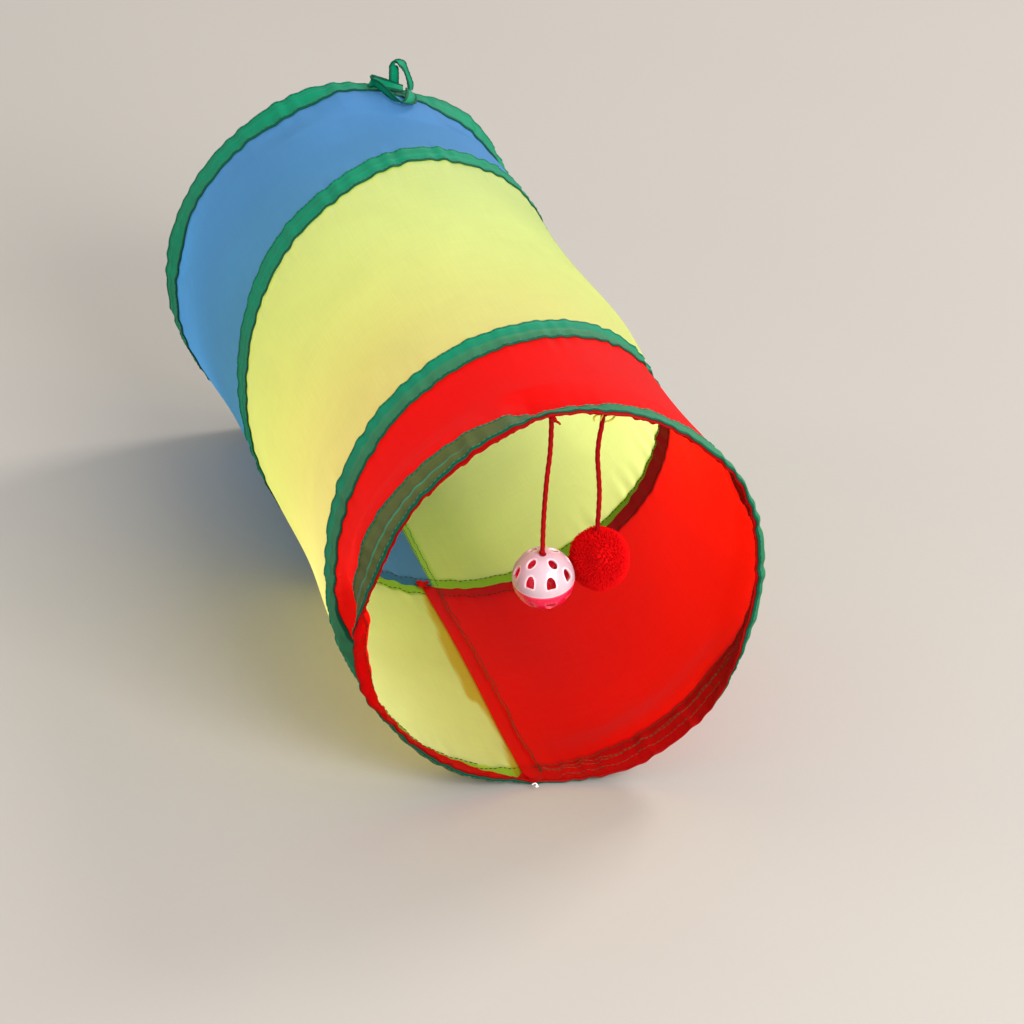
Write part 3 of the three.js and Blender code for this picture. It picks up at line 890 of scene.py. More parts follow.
def colour_property(label, default, about):
    return bpy.props.FloatVectorProperty(
        name=label, description=about, default=default, subtype="COLOR", size=3, min=0.0, max=1.0
    )


def size_property(label, default, about):
    return bpy.props.FloatProperty(
        name=label, description=about, default=default, unit="LENGTH", min=0.0, precision=5
    )


def power_property(label, default):
    about = f"Power of the {label.lower()} light"
    return bpy.props.FloatProperty(name=label, description=about, default=default, unit="POWER")


class TunnelColours(bpy.types.PropertyGroup):
    """Colours of the cloth, binding and toys."""

    blue: colour_property("Blue", (0.11, 0.28, 0.57), "Blue panel as light falls on it")
    blue_through: colour_property("Blue Through", (0.05, 0.28, 0.62), "Blue panel lit from behind")
    yellow: colour_property("Yellow", (0.69, 0.79, 0.36), "Yellow panel as light falls on it")
    yellow_through: colour_property("Yellow Through", (0.9, 0.97, 0.3), "Yellow panel lit from behind")
    red: colour_property("Red", (0.7, 0.001, 0.001), "Red panel as light falls on it")
    red_through: colour_property("Red Through", (0.95, 0.008, 0.002), "Red panel lit from behind")
    green: colour_property("Green", (0.001, 0.22, 0.105), "Binding tape and tie loops")
    cord: colour_property("Cord", (0.25, 0.001, 0.002), "The strings that hold the toys")
    pile: colour_property("Pile", (0.72, 0.001, 0.002), "Tips of the pompom's pile")
    pearl: colour_property("Pearl", (0.58, 0.43, 0.46), "Upper half of the ball")
    pink: colour_property("Pink", (0.9, 0.006, 0.07), "Lower half of the ball")


class TunnelSizes(bpy.types.PropertyGroup):
    """Sizes of the sewing and the pile."""

    stitch: size_property("Stitch", 0.0028, "Length of one stitch")
    stitch_gap: size_property("Stitch Gap", 0.0009, "Cloth between two stitches")
    thread: size_property("Thread", 0.00045, "Thickness of the sewing thread")
    stitch_inset: size_property("Stitch Inset", 0.0018, "How far a row of stitches lies in from an edge")
    fibre: size_property("Fibre", 0.0026, "Length of the pompom's fibres")
    fibre_thickness: size_property("Fibre Thickness", 0.0005, "Thickness of a fibre at its root")


class TunnelStage(bpy.types.PropertyGroup):
    """The floor and the lights."""

    floor: colour_property("Floor", (0.33, 0.295, 0.26), "Pale floor")
    key: power_property("Key", 68.0)
    fill: power_property("Fill", 132.0)
    side: power_property("Side", 32.0)
    sky: bpy.props.FloatProperty(name="Sky", description="Strength of the light all round", default=1.0)


# Camera and strings

CAMERA_AZIMUTH = -18.64
CAMERA_ELEVATION = 27.41
CAMERA_ROLL = 5.48
CAMERA_DISTANCE = 2.3466
CAMERA_TARGET = (0.01083, -0.11119, 0.11492)
CAMERA_FOCAL_PIXELS = 3843.0
IMAGE_PIXELS = 1024
SENSOR = 36.0


class CATTUNNEL_OT_camera(bpy.types.Operator):
    """Place the camera at the photograph's angle"""

    bl_idname = "cat_tunnel.camera"
    bl_label = "Camera"

    def execute(self, context):
        azimuth, elevation = math.radians(CAMERA_AZIMUTH), math.radians(CAMERA_ELEVATION)
        back = Vector(
            (
                math.sin(azimuth) * math.cos(elevation),
                -math.cos(azimuth) * math.cos(elevation),
                math.sin(elevation),
            )
        )
        right = (-back).cross(Vector((0, 0, 1))).normalized()
        up = right.cross(-back)
        roll = math.radians(CAMERA_ROLL)
        turned_right = math.cos(roll) * right + math.sin(roll) * up
        turned_up = -math.sin(roll) * right + math.cos(roll) * up
        data = bpy.data.cameras.new("camera")
        data.sensor_width = SENSOR
        data.sensor_fit = "HORIZONTAL"
        data.lens = SENSOR * CAMERA_FOCAL_PIXELS / IMAGE_PIXELS
        data.clip_end = 50
        camera = link(bpy.data.objects.new("camera", data))
        turn = Matrix((turned_right, turned_up, back)).transposed().to_4x4()
        place = Vector(CAMERA_TARGET) + back * CAMERA_DISTANCE
        camera.matrix_world = Matrix.Translation(place) @ turn
        context.scene.camera = camera
        return {"FINISHED"}


# A string's strands, how deep they lie apart, their twist in radians per millimetre, and the radius
# that leaves the string at its full thickness over them
STRANDS = 3
STRAND_DEPTH = 0.07
STRAND_TWIST = 1.1
STRAND_SHARE = 0.94
# Each string's route, and the pieces that hang on it
HUNG = {
    "string_ball": (BALL_STRING, ("ball_upper_shell", "ball_lower_shell")),
    "string_pompom": (POMPOM_STRING, ("pompom_pile",)),
}


class CATTUNNEL_OT_strings(bpy.types.Operator):
    """Hang the two twisted strings that hold the toys"""

    bl_idname = "cat_tunnel.strings"
    bl_label = "Strings"

    def execute(self, context):
        for node, (places, _) in HUNG.items():
            string = tube(
                node + "_cord", smooth_path(places, 90), STRING_DIAMETER / 2 * STRAND_SHARE, 18,
                material_of("cord"), STRANDS, STRAND_DEPTH, STRAND_TWIST
            )
            stand_for(string, node)
        return {"FINISHED"}


# Cloth panels


def spread_columns(marks, spacing):
    """Places through the marks, evenly spread between each two so that none is wider than its spacing."""
    places = [marks[0]]
    for low, high, step in zip(marks[:-1], marks[1:], spacing):
        count = max(1, int(math.ceil((high - low) / step)))
        places += list(np.linspace(low, high, count + 1)[1:])
    return np.array(places)


def taped_share(angle, along):
    """1 where binding tape lies outside the cloth, fading to 0 past its edges."""
    share = np.zeros(np.broadcast(angle, along).shape)
    for at_start, back, front in (
        (0, HEM_OUT, HEM_IN), (TURN, TAPE_HALF_WIDTH, TAPE_HALF_WIDTH),
        (2 * TURN, TAPE_HALF_WIDTH, TAPE_HALF_WIDTH), (MOUTH_START, HEM_IN, HEM_OUT)
    ):
        at = np.mod(angle, TURN) + at_start
        forward = wire_along(at) - along
        edge_back, edge_front = tape_edges(at)
        here = smooth(forward, edge_back - 0.6, edge_back + 0.6) * (
            1 - smooth(forward, edge_front - 0.6, edge_front + 0.6)
        )
        share = np.maximum(share, here)
    return share


def kinks(at, seed, knots, period):
    """An uneven line that bends at random places, from -1 to 1, and closes over its period."""
    heights = np.random.RandomState(seed).uniform(-1, 1, knots)
    place = np.mod(at, period) / period * knots
    low = np.floor(place).astype(int) % knots
    share = place - np.floor(place)
    return heights[low] + (heights[(low + 1) % knots] - heights[low]) * share


def edge_wander(at, seed):
    """How a sewn tape edge wavers, from its puckers."""
    wander = 0
    for knots, size in ((54, 0.6), (130, 0.45), (420, 0.25)):
        wander = wander + size * kinks(at, seed + knots, knots, 2 * TURN)
    return wander


# Where the tape shows wider or narrower than its cut: places on the wire, behind it and in front of it
TAPE_TRIM = table(
    ("at", "back", "front"),
    [
        (0, 0, 0),
        (470, 0, 0),
        (505, 1, -5),
        (525, 0, -2),
        (560, 0, -1),
        (600, 0, 0),
        (764, 0, 0),
        (778, -4, 2),
        (800, -8, 6),
        (828, -10, 7),
        (842, 0, 0),
        (1226, 0, 0),
        (1248, 0, -2.6),
        (1286, 0, -2.6),
        (1304, 0, 0),
        (1440, 0, 0),
    ],
)


def tape_edges(at):
    """The tape's two edges at each place on the wire, measured forward from the wire."""
    at = np.asarray(at, float)
    far, mouth = at < COIL_START, at >= MOUTH_START
    back = np.where(far, HEM_OUT, np.where(mouth, HEM_IN, TAPE_HALF_WIDTH))
    front = np.where(far, HEM_IN, np.where(mouth, HEM_OUT, TAPE_HALF_WIDTH))
    turned = np.where(far, at * 2, np.where(mouth, (at - MOUTH_START) * 2, at))
    back = back + read_table(TAPE_TRIM, "at", "back", at)
    front = front + read_table(TAPE_TRIM, "at", "front", at)
    return (
        -back + np.where(far, 0.4, 1.0) * edge_wander(turned, 20),
        front + np.where(mouth, 0.4, 1.0) * edge_wander(turned, 60),
    )


ANGLE_STEP = 0.8
FLAP_ANGLE = 3.3


def hem_wrinkle(angle, along):
    """How far the loose inner layer of a hem stands off in wrinkles."""
    waves = [((26, 40), 9), ((60, 84), -6), ((110, 150), 5)]
    return np.maximum(ripple(angle, along, 31, waves, 1.6), -0.1)


# How far past the flap's edge the second layer of yellow cloth shows as painted amber shade, in degrees
SCALLOPS = table(
    ("along", "reach"),
    [
        (-235, 1.6),
        (-222, 2.2),
        (-205, 1.5),
        (-190, 0.5),
        (-168, 1),
        (-155, 1.6),
        (-147, 2.2),
        (-140, 4.6),
        (-118, 4),
        (-98, 4.4),
        (-73, 4),
        (-52, 2.6),
        (-39, 2.6),
        (-15, 1.6),
        (-6, 0.8),
        (0, 0.5),
    ],
)


# The panels' turns between the wires
BLUE, YELLOW, RED = range(3)
# Where a panel's rim begins to turn, and how it goes round the hoop and back in a hem: out past the
# wire, and off the skin
HEM_EDGE = RIM - 0.7
HEM_FOLD = (
    (RIM - 0.2, -0.15), (RIM, -0.5), (RIM - 0.2, -0.85), (RIM - 0.8, -1.0), (RIM - 3.0, -1.05),
    (RIM - 7.0, -1.05), (RIM - 12.0, -1.0), (RIM - 17.0, -0.8),
)


def panel(name, turn, start, end):
    """One cloth panel between two turns of wire; at an end hoop it goes round the rim and back in a hem."""
    steps = int(round((end - start) / ANGLE_STEP))
    angles = np.linspace(start, end, steps + 1)
    shares = spread_columns([0, 0.1, 0.9, 1], [0.014, 0.02, 0.014])
    rows = []
    for angle in angles:
        at = angle + turn * TURN
        back = float(wire_along(at)) + (HEM_EDGE if turn == BLUE else 0)
        front = float(wire_along(at + TURN if angle >= 0 else angle + MOUTH_START + TURN))
        front -= HEM_EDGE if turn == RED else 0
        along = back + (front - back) * shares
        overlap = 0.9 * (1 - float(smooth(angle, -0.2, 1.6))) if turn == RED else 0.0
        lift = np.full(len(along), -overlap)
        if turn == RED:
            depth = float(read_table(RIM_TUCK, "angle", "depth", angle % TURN))
            along = np.concatenate([along, [front + (HEM_EDGE - out) * depth for out, _ in HEM_FOLD]])
            lift = np.concatenate([lift, [-overlap + deep for _, deep in HEM_FOLD]])
        if turn == BLUE:
            along = np.concatenate([[back + (out - HEM_EDGE) for out, _ in HEM_FOLD[::-1]], along])
            lift = np.concatenate([[deep for _, deep in HEM_FOLD[::-1]], lift])
        rows.append((np.full(len(along), angle), along, lift))
    grid_angle, grid_along, grid_lift = np.array(rows).transpose(1, 0, 2)
    loose = smooth(-grid_lift, 0.85, 1.05) if turn != YELLOW else 0.0
    grid_lift = grid_lift - hem_wrinkle(grid_angle, grid_along) * loose
    points = skin(grid_angle, grid_along, grid_lift)
    # Masks for painted shade in the cloth's colour: where tape lies outside it, and where a second layer
    # lies behind it.
    taped = taped_share(grid_angle, grid_along)
    doubled = np.zeros(taped.shape)
    if turn == YELLOW:
        # On the yellow a second layer beside the flap's edge is painted in as amber shade, as far as the
        # scallops reach.
        reach = FLAP_ANGLE + read_table(SCALLOPS, "along", "reach", grid_along)
        doubled = smooth(grid_angle, TURN - reach - 0.5, TURN - reach + 0.6) * 0.85
        # A lime strip of painted tape shade along the floor line.
        strip = 1 - smooth(grid_angle, 2.3, 2.7)
        taped = np.maximum(taped, strip * 0.8)
    if turn == RED:
        # On the red the painted tape shade is left out near the bottom beside the rear wire, and is full
        # only on the backlit side, about a third as strong elsewhere.
        behind = wire_along(grid_angle + turn * TURN) - grid_along
        shown = smooth(np.abs(grid_angle - 4), 24, 48) + 1 - smooth(behind, 1.5, 2.5)
        taped = taped * np.where(behind < TAPE_HALF_WIDTH + 8, np.minimum(shown, 1), 1)
        backlit = smooth(grid_angle, 4, 22) * (1 - smooth(grid_angle, 190, 215))
        taped = taped * (0.35 + 0.65 * backlit)
        # On the red the hem's second layer near the mouth's rim is painted in as darker shade.
        past = grid_along - wire_along(grid_angle + MOUTH_START)
        doubled = 0.8 * smooth(-past, RIM - 3.2, RIM - 1.6)
    u = np.radians(angles) * CLOTH_RADIUS
    v = np.concatenate([[0], np.cumsum(np.abs(np.diff(grid_along[len(grid_along) // 2])))])
    piece = grid_object(
        name + "_cloth", points, material_of(name.split("_")[1]), u, v,
        attributes={"taped": taped, "doubled": doubled}
    )
    return piece, points


POINT_ANGLE = 1.0


class CATTUNNEL_OT_panels(bpy.types.Operator):
    """Lay the blue, yellow and red panels between the turns of wire"""

    bl_idname = "cat_tunnel.panels"
    bl_label = "Cloth Panels"

    def execute(self, context):
        for name, turn, start, end in (
            ("panel_blue", BLUE, POINT_ANGLE, TURN - 0.1),
            ("panel_yellow", YELLOW, 0.1, TURN - 0.1),
            ("panel_red", RED, -FLAP_ANGLE, TURN - POINT_ANGLE),
        ):
            piece, points = panel(name, turn, start, end)
            stand_for(piece, name)
        return {"FINISHED"}


# Binding tape


def coil_bounds(at):
    """Where the far hoop's tape ends and the mouth's begins, beside each place on the coil."""
    angle = np.mod(at, TURN)
    far_front = wire_along(angle) - tape_edges(angle)[1]
    return far_front, wire_along(angle + MOUTH_START) - tape_edges(angle + MOUTH_START)[0]


# How the tape's turned edge rises off the cloth: inwards by a share of the fold and by a step, and up
TURNED_EDGE = (
    (0, 0, 0.35), (0, 0.15, 0.85), (0, 0.7, 1.12), (0.6, 0, 1.15), (1, 0, 1.08), (1, 0.35, 0.72),
)
FOLD_WIDTH = 2.4
RIDGE_HALF = 2.6
RIDGE_RISE = 0.6
TAPE_FLAT = 0.74
TAPE_BACK = 0.3


def tape(at, coil):
    """A length of binding: turned edges, a ridge over the wire, and a flat back on the cloth."""
    back, front = tape_edges(at)
    wires = wire_along(at)
    if coil:
        far_front, mouth_back = coil_bounds(at)
        back = np.maximum(back, wires - (far_front - 2 * SEAM_GAP))
        front = np.minimum(front, wires - (mouth_back + 2 * SEAM_GAP))
    width = front - back
    crest = np.clip(0, back + 0.4 * width, front - 0.4 * width)
    room = np.clip((np.minimum(-back, front) - FOLD_WIDTH) / FOLD_WIDTH, 0, 1)
    fold = np.minimum(FOLD_WIDTH, width * 0.25)
    half = np.minimum(RIDGE_HALF, width * 0.25)
    columns, lifts = [], []

    def column(place, lift):
        columns.append(place)
        lifts.append(np.broadcast_to(lift, at.shape))

    for share, step, lift in TURNED_EDGE:
        column(back + fold * share + step, lift)
    flat = columns[-1]
    for share in (0.35, 0.8):
        column(flat + (crest - half - flat) * share, TAPE_FLAT)
    for share in np.linspace(0, 1, 9):
        bulge = math.sin(math.pi * share) ** 1.3
        column(crest - half + 2 * half * share, TAPE_FLAT + RIDGE_RISE * room * bulge)
    for share in (0.2, 0.65):
        column(crest + half + (front - fold - TURNED_EDGE[-1][1] - crest - half) * share, TAPE_FLAT)
    for share, step, lift in TURNED_EDGE[::-1]:
        column(front - fold * share - step, lift)
    top = len(columns)
    for share in np.linspace(1, 0, 8)[1:-1]:
        column(back + width * share, TAPE_BACK)
    forward = np.stack(columns, axis=1)
    lift = np.stack(lifts, axis=1)
    grid_at = np.broadcast_to(at[:, None], forward.shape)
    crumple = 0.1 * ripple(np.mod(grid_at, TURN), forward * 3, 21, [((24, 40), 19), ((60, 90), -9)], 1.0)
    lift = lift + np.where(np.arange(forward.shape[1]) < top, crumple, 0) * np.minimum(1, lift)
    lift = np.maximum(lift, 0.22)
    points = skin(np.mod(grid_at, TURN), wires[:, None] - forward, lift)
    edge_near = np.minimum(forward - back[:, None], front[:, None] - forward)
    # Painted shade on the turned edges.
    folded = 1 - smooth(edge_near, fold[:, None] - 0.15, fold[:, None] + 0.2)
    # A painted highlight line along the ridge over the wire: full on the mouth's tape, a quarter as strong
    # on the others.
    shown = np.where(at >= MOUTH_START, 1.0, 0.25) * room
    line = nearness(forward, crest[:, None] - 0.1, 0.55) * shown[:, None]
    # The red cloth showing through the tape, darkened with painted shade, strongest on the left of the
    # mouth's tape.
    behind = wires[:, None] - forward
    over = over_red_share(np.mod(grid_at, TURN), behind) * np.where(
        grid_at >= MOUTH_START, 0.3 + 0.7 * smooth(grid_at, MOUTH_START + 182, MOUTH_START + 204), 0.35
    )
    around = len(at)
    u = np.radians(np.concatenate([at, [at[-1] + ANGLE_STEP]])) * CLOTH_RADIUS
    v = np.concatenate([[0], np.cumsum(np.abs(np.diff(forward[around // 2]))), [0]])
    v[-1] = v[-2] + 1
    return points, u, v, {"folded": folded, "crest": line, "over_red": over}


def over_red_share(angle, along):
    """1 where the tape lies over the red panel, 0 elsewhere."""
    second_coil = wire_along(angle + 2 * TURN)
    return smooth(second_coil - along, -0.4, 0.4)


def cap_ends(mesh, columns):
    """Closes the two ends of a length of tape."""
    count = len(mesh.vertices)
    add_faces(mesh, (range(columns - 1, -1, -1), range(count - columns, count)))


COIL_TAPE_START = COIL_START + 12
SPLICE = COIL_START + TURN + 12
COIL_TAPE_END = MOUTH_START - 16
TAPES = (
    ("binding_far_hoop", 0.0, TURN, False),
    ("binding_coil_rear", COIL_TAPE_START, SPLICE, True),
    ("binding_coil_front", SPLICE + 0.15, COIL_TAPE_END, True),
    ("binding_mouth_hoop", MOUTH_START, MOUTH_START + TURN, False),
)


class CATTUNNEL_OT_binding(bpy.types.Operator):
    """Sew the green binding over the wire"""

    bl_idname = "cat_tunnel.binding"
    bl_label = "Binding"

    def execute(self, context):
        for name, start, end, coil in TAPES:
            count = int(round((end - start) / ANGLE_STEP * 1.2))
            at = np.linspace(start, end, count + 1)
            at = at if coil else at[:-1]
            points, u, v, attributes = tape(at, coil)
            piece = grid_object(
                name + "_tape", points, material_of("green"), u, v, round_u=not coil, round_v=True,
                attributes=attributes
            )
            if coil:
                cap_ends(piece.data, points.shape[1])
            stand_for(piece, name)
        return {"FINISHED"}


# Tie loops


LOOP_WIDTH = 8.8


def ribbon(rows, node):
    """A tie loop: tape turned over along its route, with thicker turned edges that carry painted shade."""
    places = np.stack([rows[key] for key in ("x", "y", "z")], axis=1)
    across = []
    for heading, rise in zip(np.radians(rows["heading"]), np.radians(rows["rise"])):
        across.append(
            (math.cos(heading) * math.cos(rise), math.sin(heading) * math.cos(rise), math.sin(rise))
        )
    both = smooth_path(np.concatenate([places, np.array(across) * 6], axis=1), 90)
    path, across = both[:, :3], both[:, 3:]
    course = unit(np.gradient(path, axis=0))
    across = unit(across - course * (across * course).sum(axis=1)[:, None])
    face = np.cross(course, across)
    half = LOOP_WIDTH / 2
    over = [(0.0, 0.0), (0.12, 0.36), (0.5, 0.48), (1.9, 0.46), (2.3, 0.26)]
    under = [(0.12, -0.36), (0.5, -0.45), (half * 0.6, -0.4)]
    profile = [(x - half, y) for x, y in over] + [(0.0, 0.22)] + [(half - x, y) for x, y in over[::-1]]
    profile += [(half - x, y) for x, y in under] + [(x - half, y) for x, y in under[::-1]]
    side, depth = np.array(profile).T
    lengths = lengths_along(path)
    crumple = 0.12 * np.sin(lengths * 1.9) + 0.1 * np.sin(lengths * 3.1 + 1)
    curl = 0.35 * np.sin(lengths * 0.35 + 0.6)
    bowed = depth[None, :] + curl[:, None] * (1 - (side[None, :] / half) ** 2)
    bowed = bowed + crumple[:, None] * np.abs(side[None, :] / half) ** 3
    points = (
        path[:, None, :] + across[:, None, :] * side[None, :, None] + face[:, None, :] * bowed[..., None]
    )
    # Painted shade on the loop's turned edges.
    edge = np.clip((np.abs(side) - (half - 2.2)) / 0.3, 0, 1)
    folded = np.broadcast_to(edge[None, :], bowed.shape)
    nothing = np.zeros(bowed.shape)
    v = np.concatenate([side + half, [0]])
    piece = grid_object(
        node + "_tape", points, material_of("green"), lengths, v, round_v=True,
        attributes={"folded": folded, "crest": nothing, "over_red": nothing}
    )
    cap_ends(piece.data, points.shape[1])
    return piece


class CATTUNNEL_OT_loops(bpy.types.Operator):
    """Make the two tie loops on the far hoop"""

    bl_idname = "cat_tunnel.loops"
    bl_label = "Tie Loops"

    def execute(self, context):
        for node, rows in (("loop_standing", STANDING_LOOP), ("loop_lying", LYING_LOOP)):
            piece = ribbon(rows, node)
            stand_for(piece, node)
        return {"FINISHED"}


# Stitches


def lines_object(name, lines):
    """Edges along each line of places in millimetres, for the stitch tree to follow."""
    vertices, edges = [], []
    for line in lines:
        first = len(vertices)
        vertices += [tuple(p) for p in line * MM]
        edges += [(first + k, first + k + 1) for k in range(len(line) - 1)]
    mesh = bpy.data.meshes.new(name)
    mesh.from_pydata(vertices, edges, [])
    return link(bpy.data.objects.new(name, mesh))


SHORTEST_ROW = 6


def tape_edge_lines(inset, lift):
    """The rows of stitches along each tape's edges, so far off the cloth's skin."""
    lines = []
    for name, start, end, coil in TAPES:
        at = np.linspace(start, end, 500)
        back, front = tape_edges(at)
        angle = np.mod(at, TURN)
        wires = wire_along(at)
        for forward in (back + inset, front - inset):
            keep = np.ones(len(at), bool)
            if coil:
                far_front, mouth_back = coil_bounds(at)
                along = wires - forward
                keep = (along < far_front - inset) & (along > mouth_back + inset)
            points = skin(angle, wires - forward, lift)
            turns = np.flatnonzero(np.diff(np.concatenate([[False], keep, [False]])))
            for first, last in zip(turns[::2], turns[1::2]):
                if last - first >= SHORTEST_ROW:
                    lines.append(points[first:last])
    return lines


# Rows of stitches along the floor line: where each starts and ends, and how far it lies off the seam
FLOOR_ROWS = ((-3, -231, 0.4, 3.6), (-3, -231, 2.4, 4.6), (226, 4, 0.5, 0.6), (226, 4, 4.6, 3.6))


def floor_lines(near):
    """The paired rows of stitches that join the panels along the floor line, seen inside."""
    lines = []
    for k, (start, end, first, last) in enumerate(FLOOR_ROWS):
        if (start < 0) != near:
            continue
        along = np.linspace(start, end, 200)
        share = (along - start) / (end - start)
        size = 1.1 if near else 0.7
        drift = first + (last - first) * share + size * kinks(along, 70 + k, 60 if near else 110, 2 * PITCH)
        lines.append(skin(np.degrees(drift / CLOTH_RADIUS), along, -1.7 if near else -0.45))
    return lines


def hem_lines():
    """Two wavering rows of stitches along the inner edge of the mouth's hem."""
    lines = []
    for k, (inset, start, end) in enumerate(((8.6, -1, 96), (7.2, 2, 88), (1.2, 8, 60))):
        angle = np.linspace(start, end, 300)
        wires = wire_along(np.mod(angle, TURN) + MOUTH_START)
        along = wires + inset + 1.1 * kinks(angle, 90 + k, 60, TURN)
        lines.append(skin(angle, along, -1.3 - hem_wrinkle(angle, along)))
    return lines


class CATTUNNEL_OT_stitches(bpy.types.Operator):
    """Run the rows of stitches along the tape's edges and the panel seams"""

    bl_idname = "cat_tunnel.stitches"
    bl_label = "Stitches"

    def execute(self, context):
        sizes = context.scene.cat_tunnel_sizes
        tree = stitch_tree()
        inset = sizes.stitch_inset / MM
        rows = (
            ("tape_stitches", tape_edge_lines(inset, 1.25), "green_thread", 0.9, 1.0),
            ("inner_stitches", tape_edge_lines(inset, -0.35), "olive_thread", 0.5, 1.1),
            ("seam_stitches", floor_lines(True), "olive_thread", 0.05, 1.4),
            ("hem_stitches", hem_lines(), "hem_thread", 0.4, 1.05),
            ("strip_stitches", floor_lines(False), "bright_thread", 0.05, 1.5),
        )
        for name, lines, material, gap, thickness in rows:
            values = {"Stitch": sizes.stitch, "Gap": sizes.stitch_gap * gap}
            values["Thread Radius"] = sizes.thread / 2 * thickness
            values["Material"] = material_of(material)
            piece = apply_tree(name, lines_object(name, lines), tree, values)
            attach(piece, "root")
        return {"FINISHED"}


# Ball


# The ball's rings of holes: count, latitude, first longitude, width, height, and whether pointed
HOLE_RINGS = ((8, 29, 1, 5.8, 7.2, True), (4, 61, 26, 5.0, 6.6, False))


def hole_outline(width, height, pointed):
    """A hole's outline: an oval, or a wide flat foot under a narrow round top."""
    if not pointed:
        turn = np.linspace(0, 2 * np.pi, 28, endpoint=False)
        return np.stack([np.cos(turn) * width / 2, np.sin(turn) * height / 2], axis=1)
    climb = np.sin(np.linspace(0, np.pi / 2, 12))
    reach = width / 2 * np.sqrt(1 - climb**3) * (1 - 0.12 * np.exp(-climb / 0.05))
    right = np.stack([reach, (climb - 0.5) * height], axis=1)
    left = right[-2::-1] * [-1, 1]
    return np.concatenate([right, left])


def hole_places():
    places = []
    for count, latitude, start, width, height, pointed in HOLE_RINGS:
        tilt = Matrix.Rotation(math.radians(90 - latitude), 3, "X")
        for i in range(count):
            turn = Matrix.Rotation(math.radians(start + i * TURN / count), 3, "Z") @ tilt
            places.append((turn, hole_outline(width, height, pointed)))
    return places


# Half the parting line between the ball's halves
HALF_GAP = 0.15


def half_shell(name):
    """A closed half of a hollow ball that stands on its rim, in millimetres."""
    around, up = 96, 26
    profile = []
    for radius, order in ((BALL_RADIUS, range(up + 1)), (BALL_RADIUS - BALL_WALL, range(up, -1, -1))):
        for k in order:
            slope = math.pi / 2 * k / up
            profile.append((radius * math.cos(slope), max(radius * math.sin(slope), HALF_GAP)))
    bm = bmesh.new()
    rings = []
    for radius, height in profile:
        if radius < 1e-6:
            rings.append([bm.verts.new((0, 0, height))] * around)
            continue
        ring = []
        for j in range(around):
            turn = 2 * math.pi * j / around
            ring.append(bm.verts.new((radius * math.cos(turn), radius * math.sin(turn), height)))
        rings.append(ring)
    rings.append(rings[0])
    for low, high in zip(rings[:-1], rings[1:]):
        for j in range(around):
            k = (j + 1) % around
            face = list(dict.fromkeys((low[j], low[k], high[k], high[j])))
            if len(face) > 2:
                bm.faces.new(face)
    return mesh_object(name, bm)


def hole_cutters(with_string_hole):
    bm = bmesh.new()
    places = hole_places()
    if with_string_hole:
        turn = np.linspace(0, 2 * np.pi, 24, endpoint=False)
        places.append((Matrix.Identity(3), np.stack([np.cos(turn), np.sin(turn)], axis=1) * 2.2))
    for turn, outline in places:
        low, high = (
            [bm.verts.new(turn @ Vector((x, y, BALL_RADIUS * reach))) for x, y in outline]
            for reach in (0.6, 1.3)
        )
        bm.faces.new(low[::-1])
        bm.faces.new(high)
        for k in range(len(low)):
            m = (k + 1) % len(low)
            bm.faces.new((low[k], low[m], high[m], high[k]))
    return mesh_object("cutters", bm)


def rim_highlight_share(points):
    """Where the highlight is painted: 1 at a hole's edge and at the parting line, fading over the plastic
    beside them.
    """
    share = 1 - smooth(np.abs(points[:, 2]), 0.2, 1.0)
    for turn, outline in hole_places():
        local = points @ np.array(turn)
        facing = local[:, 2] > 0
        dense = np.concatenate([outline, np.roll(outline, -1, axis=0) * 0.5 + outline * 0.5])
        gap = np.min(np.linalg.norm(local[:, None, :2] - dense[None, :, :], axis=2), axis=1)
        share = np.maximum(share, np.where(facing, 1 - smooth(gap, 0.25, 1.1), 0))
    return share


def ball_half(name, upper, material):
    shell = half_shell(name)
    cutters = hole_cutters(upper)
    cut = shell.modifiers.new("Holes", "BOOLEAN")
    cut.object = cutters
    cut.operation = "DIFFERENCE"
    cut.solver = "EXACT"
    soften = shell.modifiers.new("Soften", "BEVEL")
    soften.width = 0.22
    soften.segments = 2
    soften.limit_method = "ANGLE"
    soften.angle_limit = math.radians(50)
    mesh = evaluated_mesh(shell)
    bpy.data.objects.remove(shell)
    bpy.data.objects.remove(cutters)
    points = np.empty(len(mesh.vertices) * 3)
    mesh.vertices.foreach_get("co", points)
    points = points.reshape(-1, 3)
    # Where the rim highlight is painted.
    attribute = mesh.attributes.new("rim", "FLOAT", "POINT")
    attribute.data.foreach_set("value", rim_highlight_share(points).astype(np.float32))
    turn = Vector((0, 0, 1)).rotation_difference(Vector(BALL_TOP)).to_matrix()
    if not upper:
        turn = turn @ Matrix.Rotation(math.pi, 3, "X")
    placed = (points @ np.array(turn).T + np.array(BALL_CENTRE)) * MM
    mesh.vertices.foreach_set("co", placed.ravel())
    mesh.materials.clear()
    mesh.materials.append(material)
    mesh.shade_smooth()
    mesh.set_sharp_from_angle(angle=math.radians(40))
    mesh.update()
    mesh.name = name
    return link(bpy.data.objects.new(name, mesh))


class CATTUNNEL_OT_ball(bpy.types.Operator):
    """Mould the ball's two halves with their holes"""

    bl_idname = "cat_tunnel.ball"
    bl_label = "Ball"

    def execute(self, context):
        for node, upper, key, slot in (
            ("ball_upper", True, "pearl", "pearl_plastic"),
            ("ball_lower", False, "pink", "pink_plastic"),
        ):
            piece = ball_half(node + "_shell", upper, material_of(key))
            stand_for(piece, node)
        return {"FINISHED"}


# Pompom

# The core's radius, how far it is stretched each way, and the size of its lumps
POMPOM_CORE = 16.1
POMPOM_SHAPE = np.array([0.99, 0.99, 1.03])
POMPOM_LUMPS = 0.012


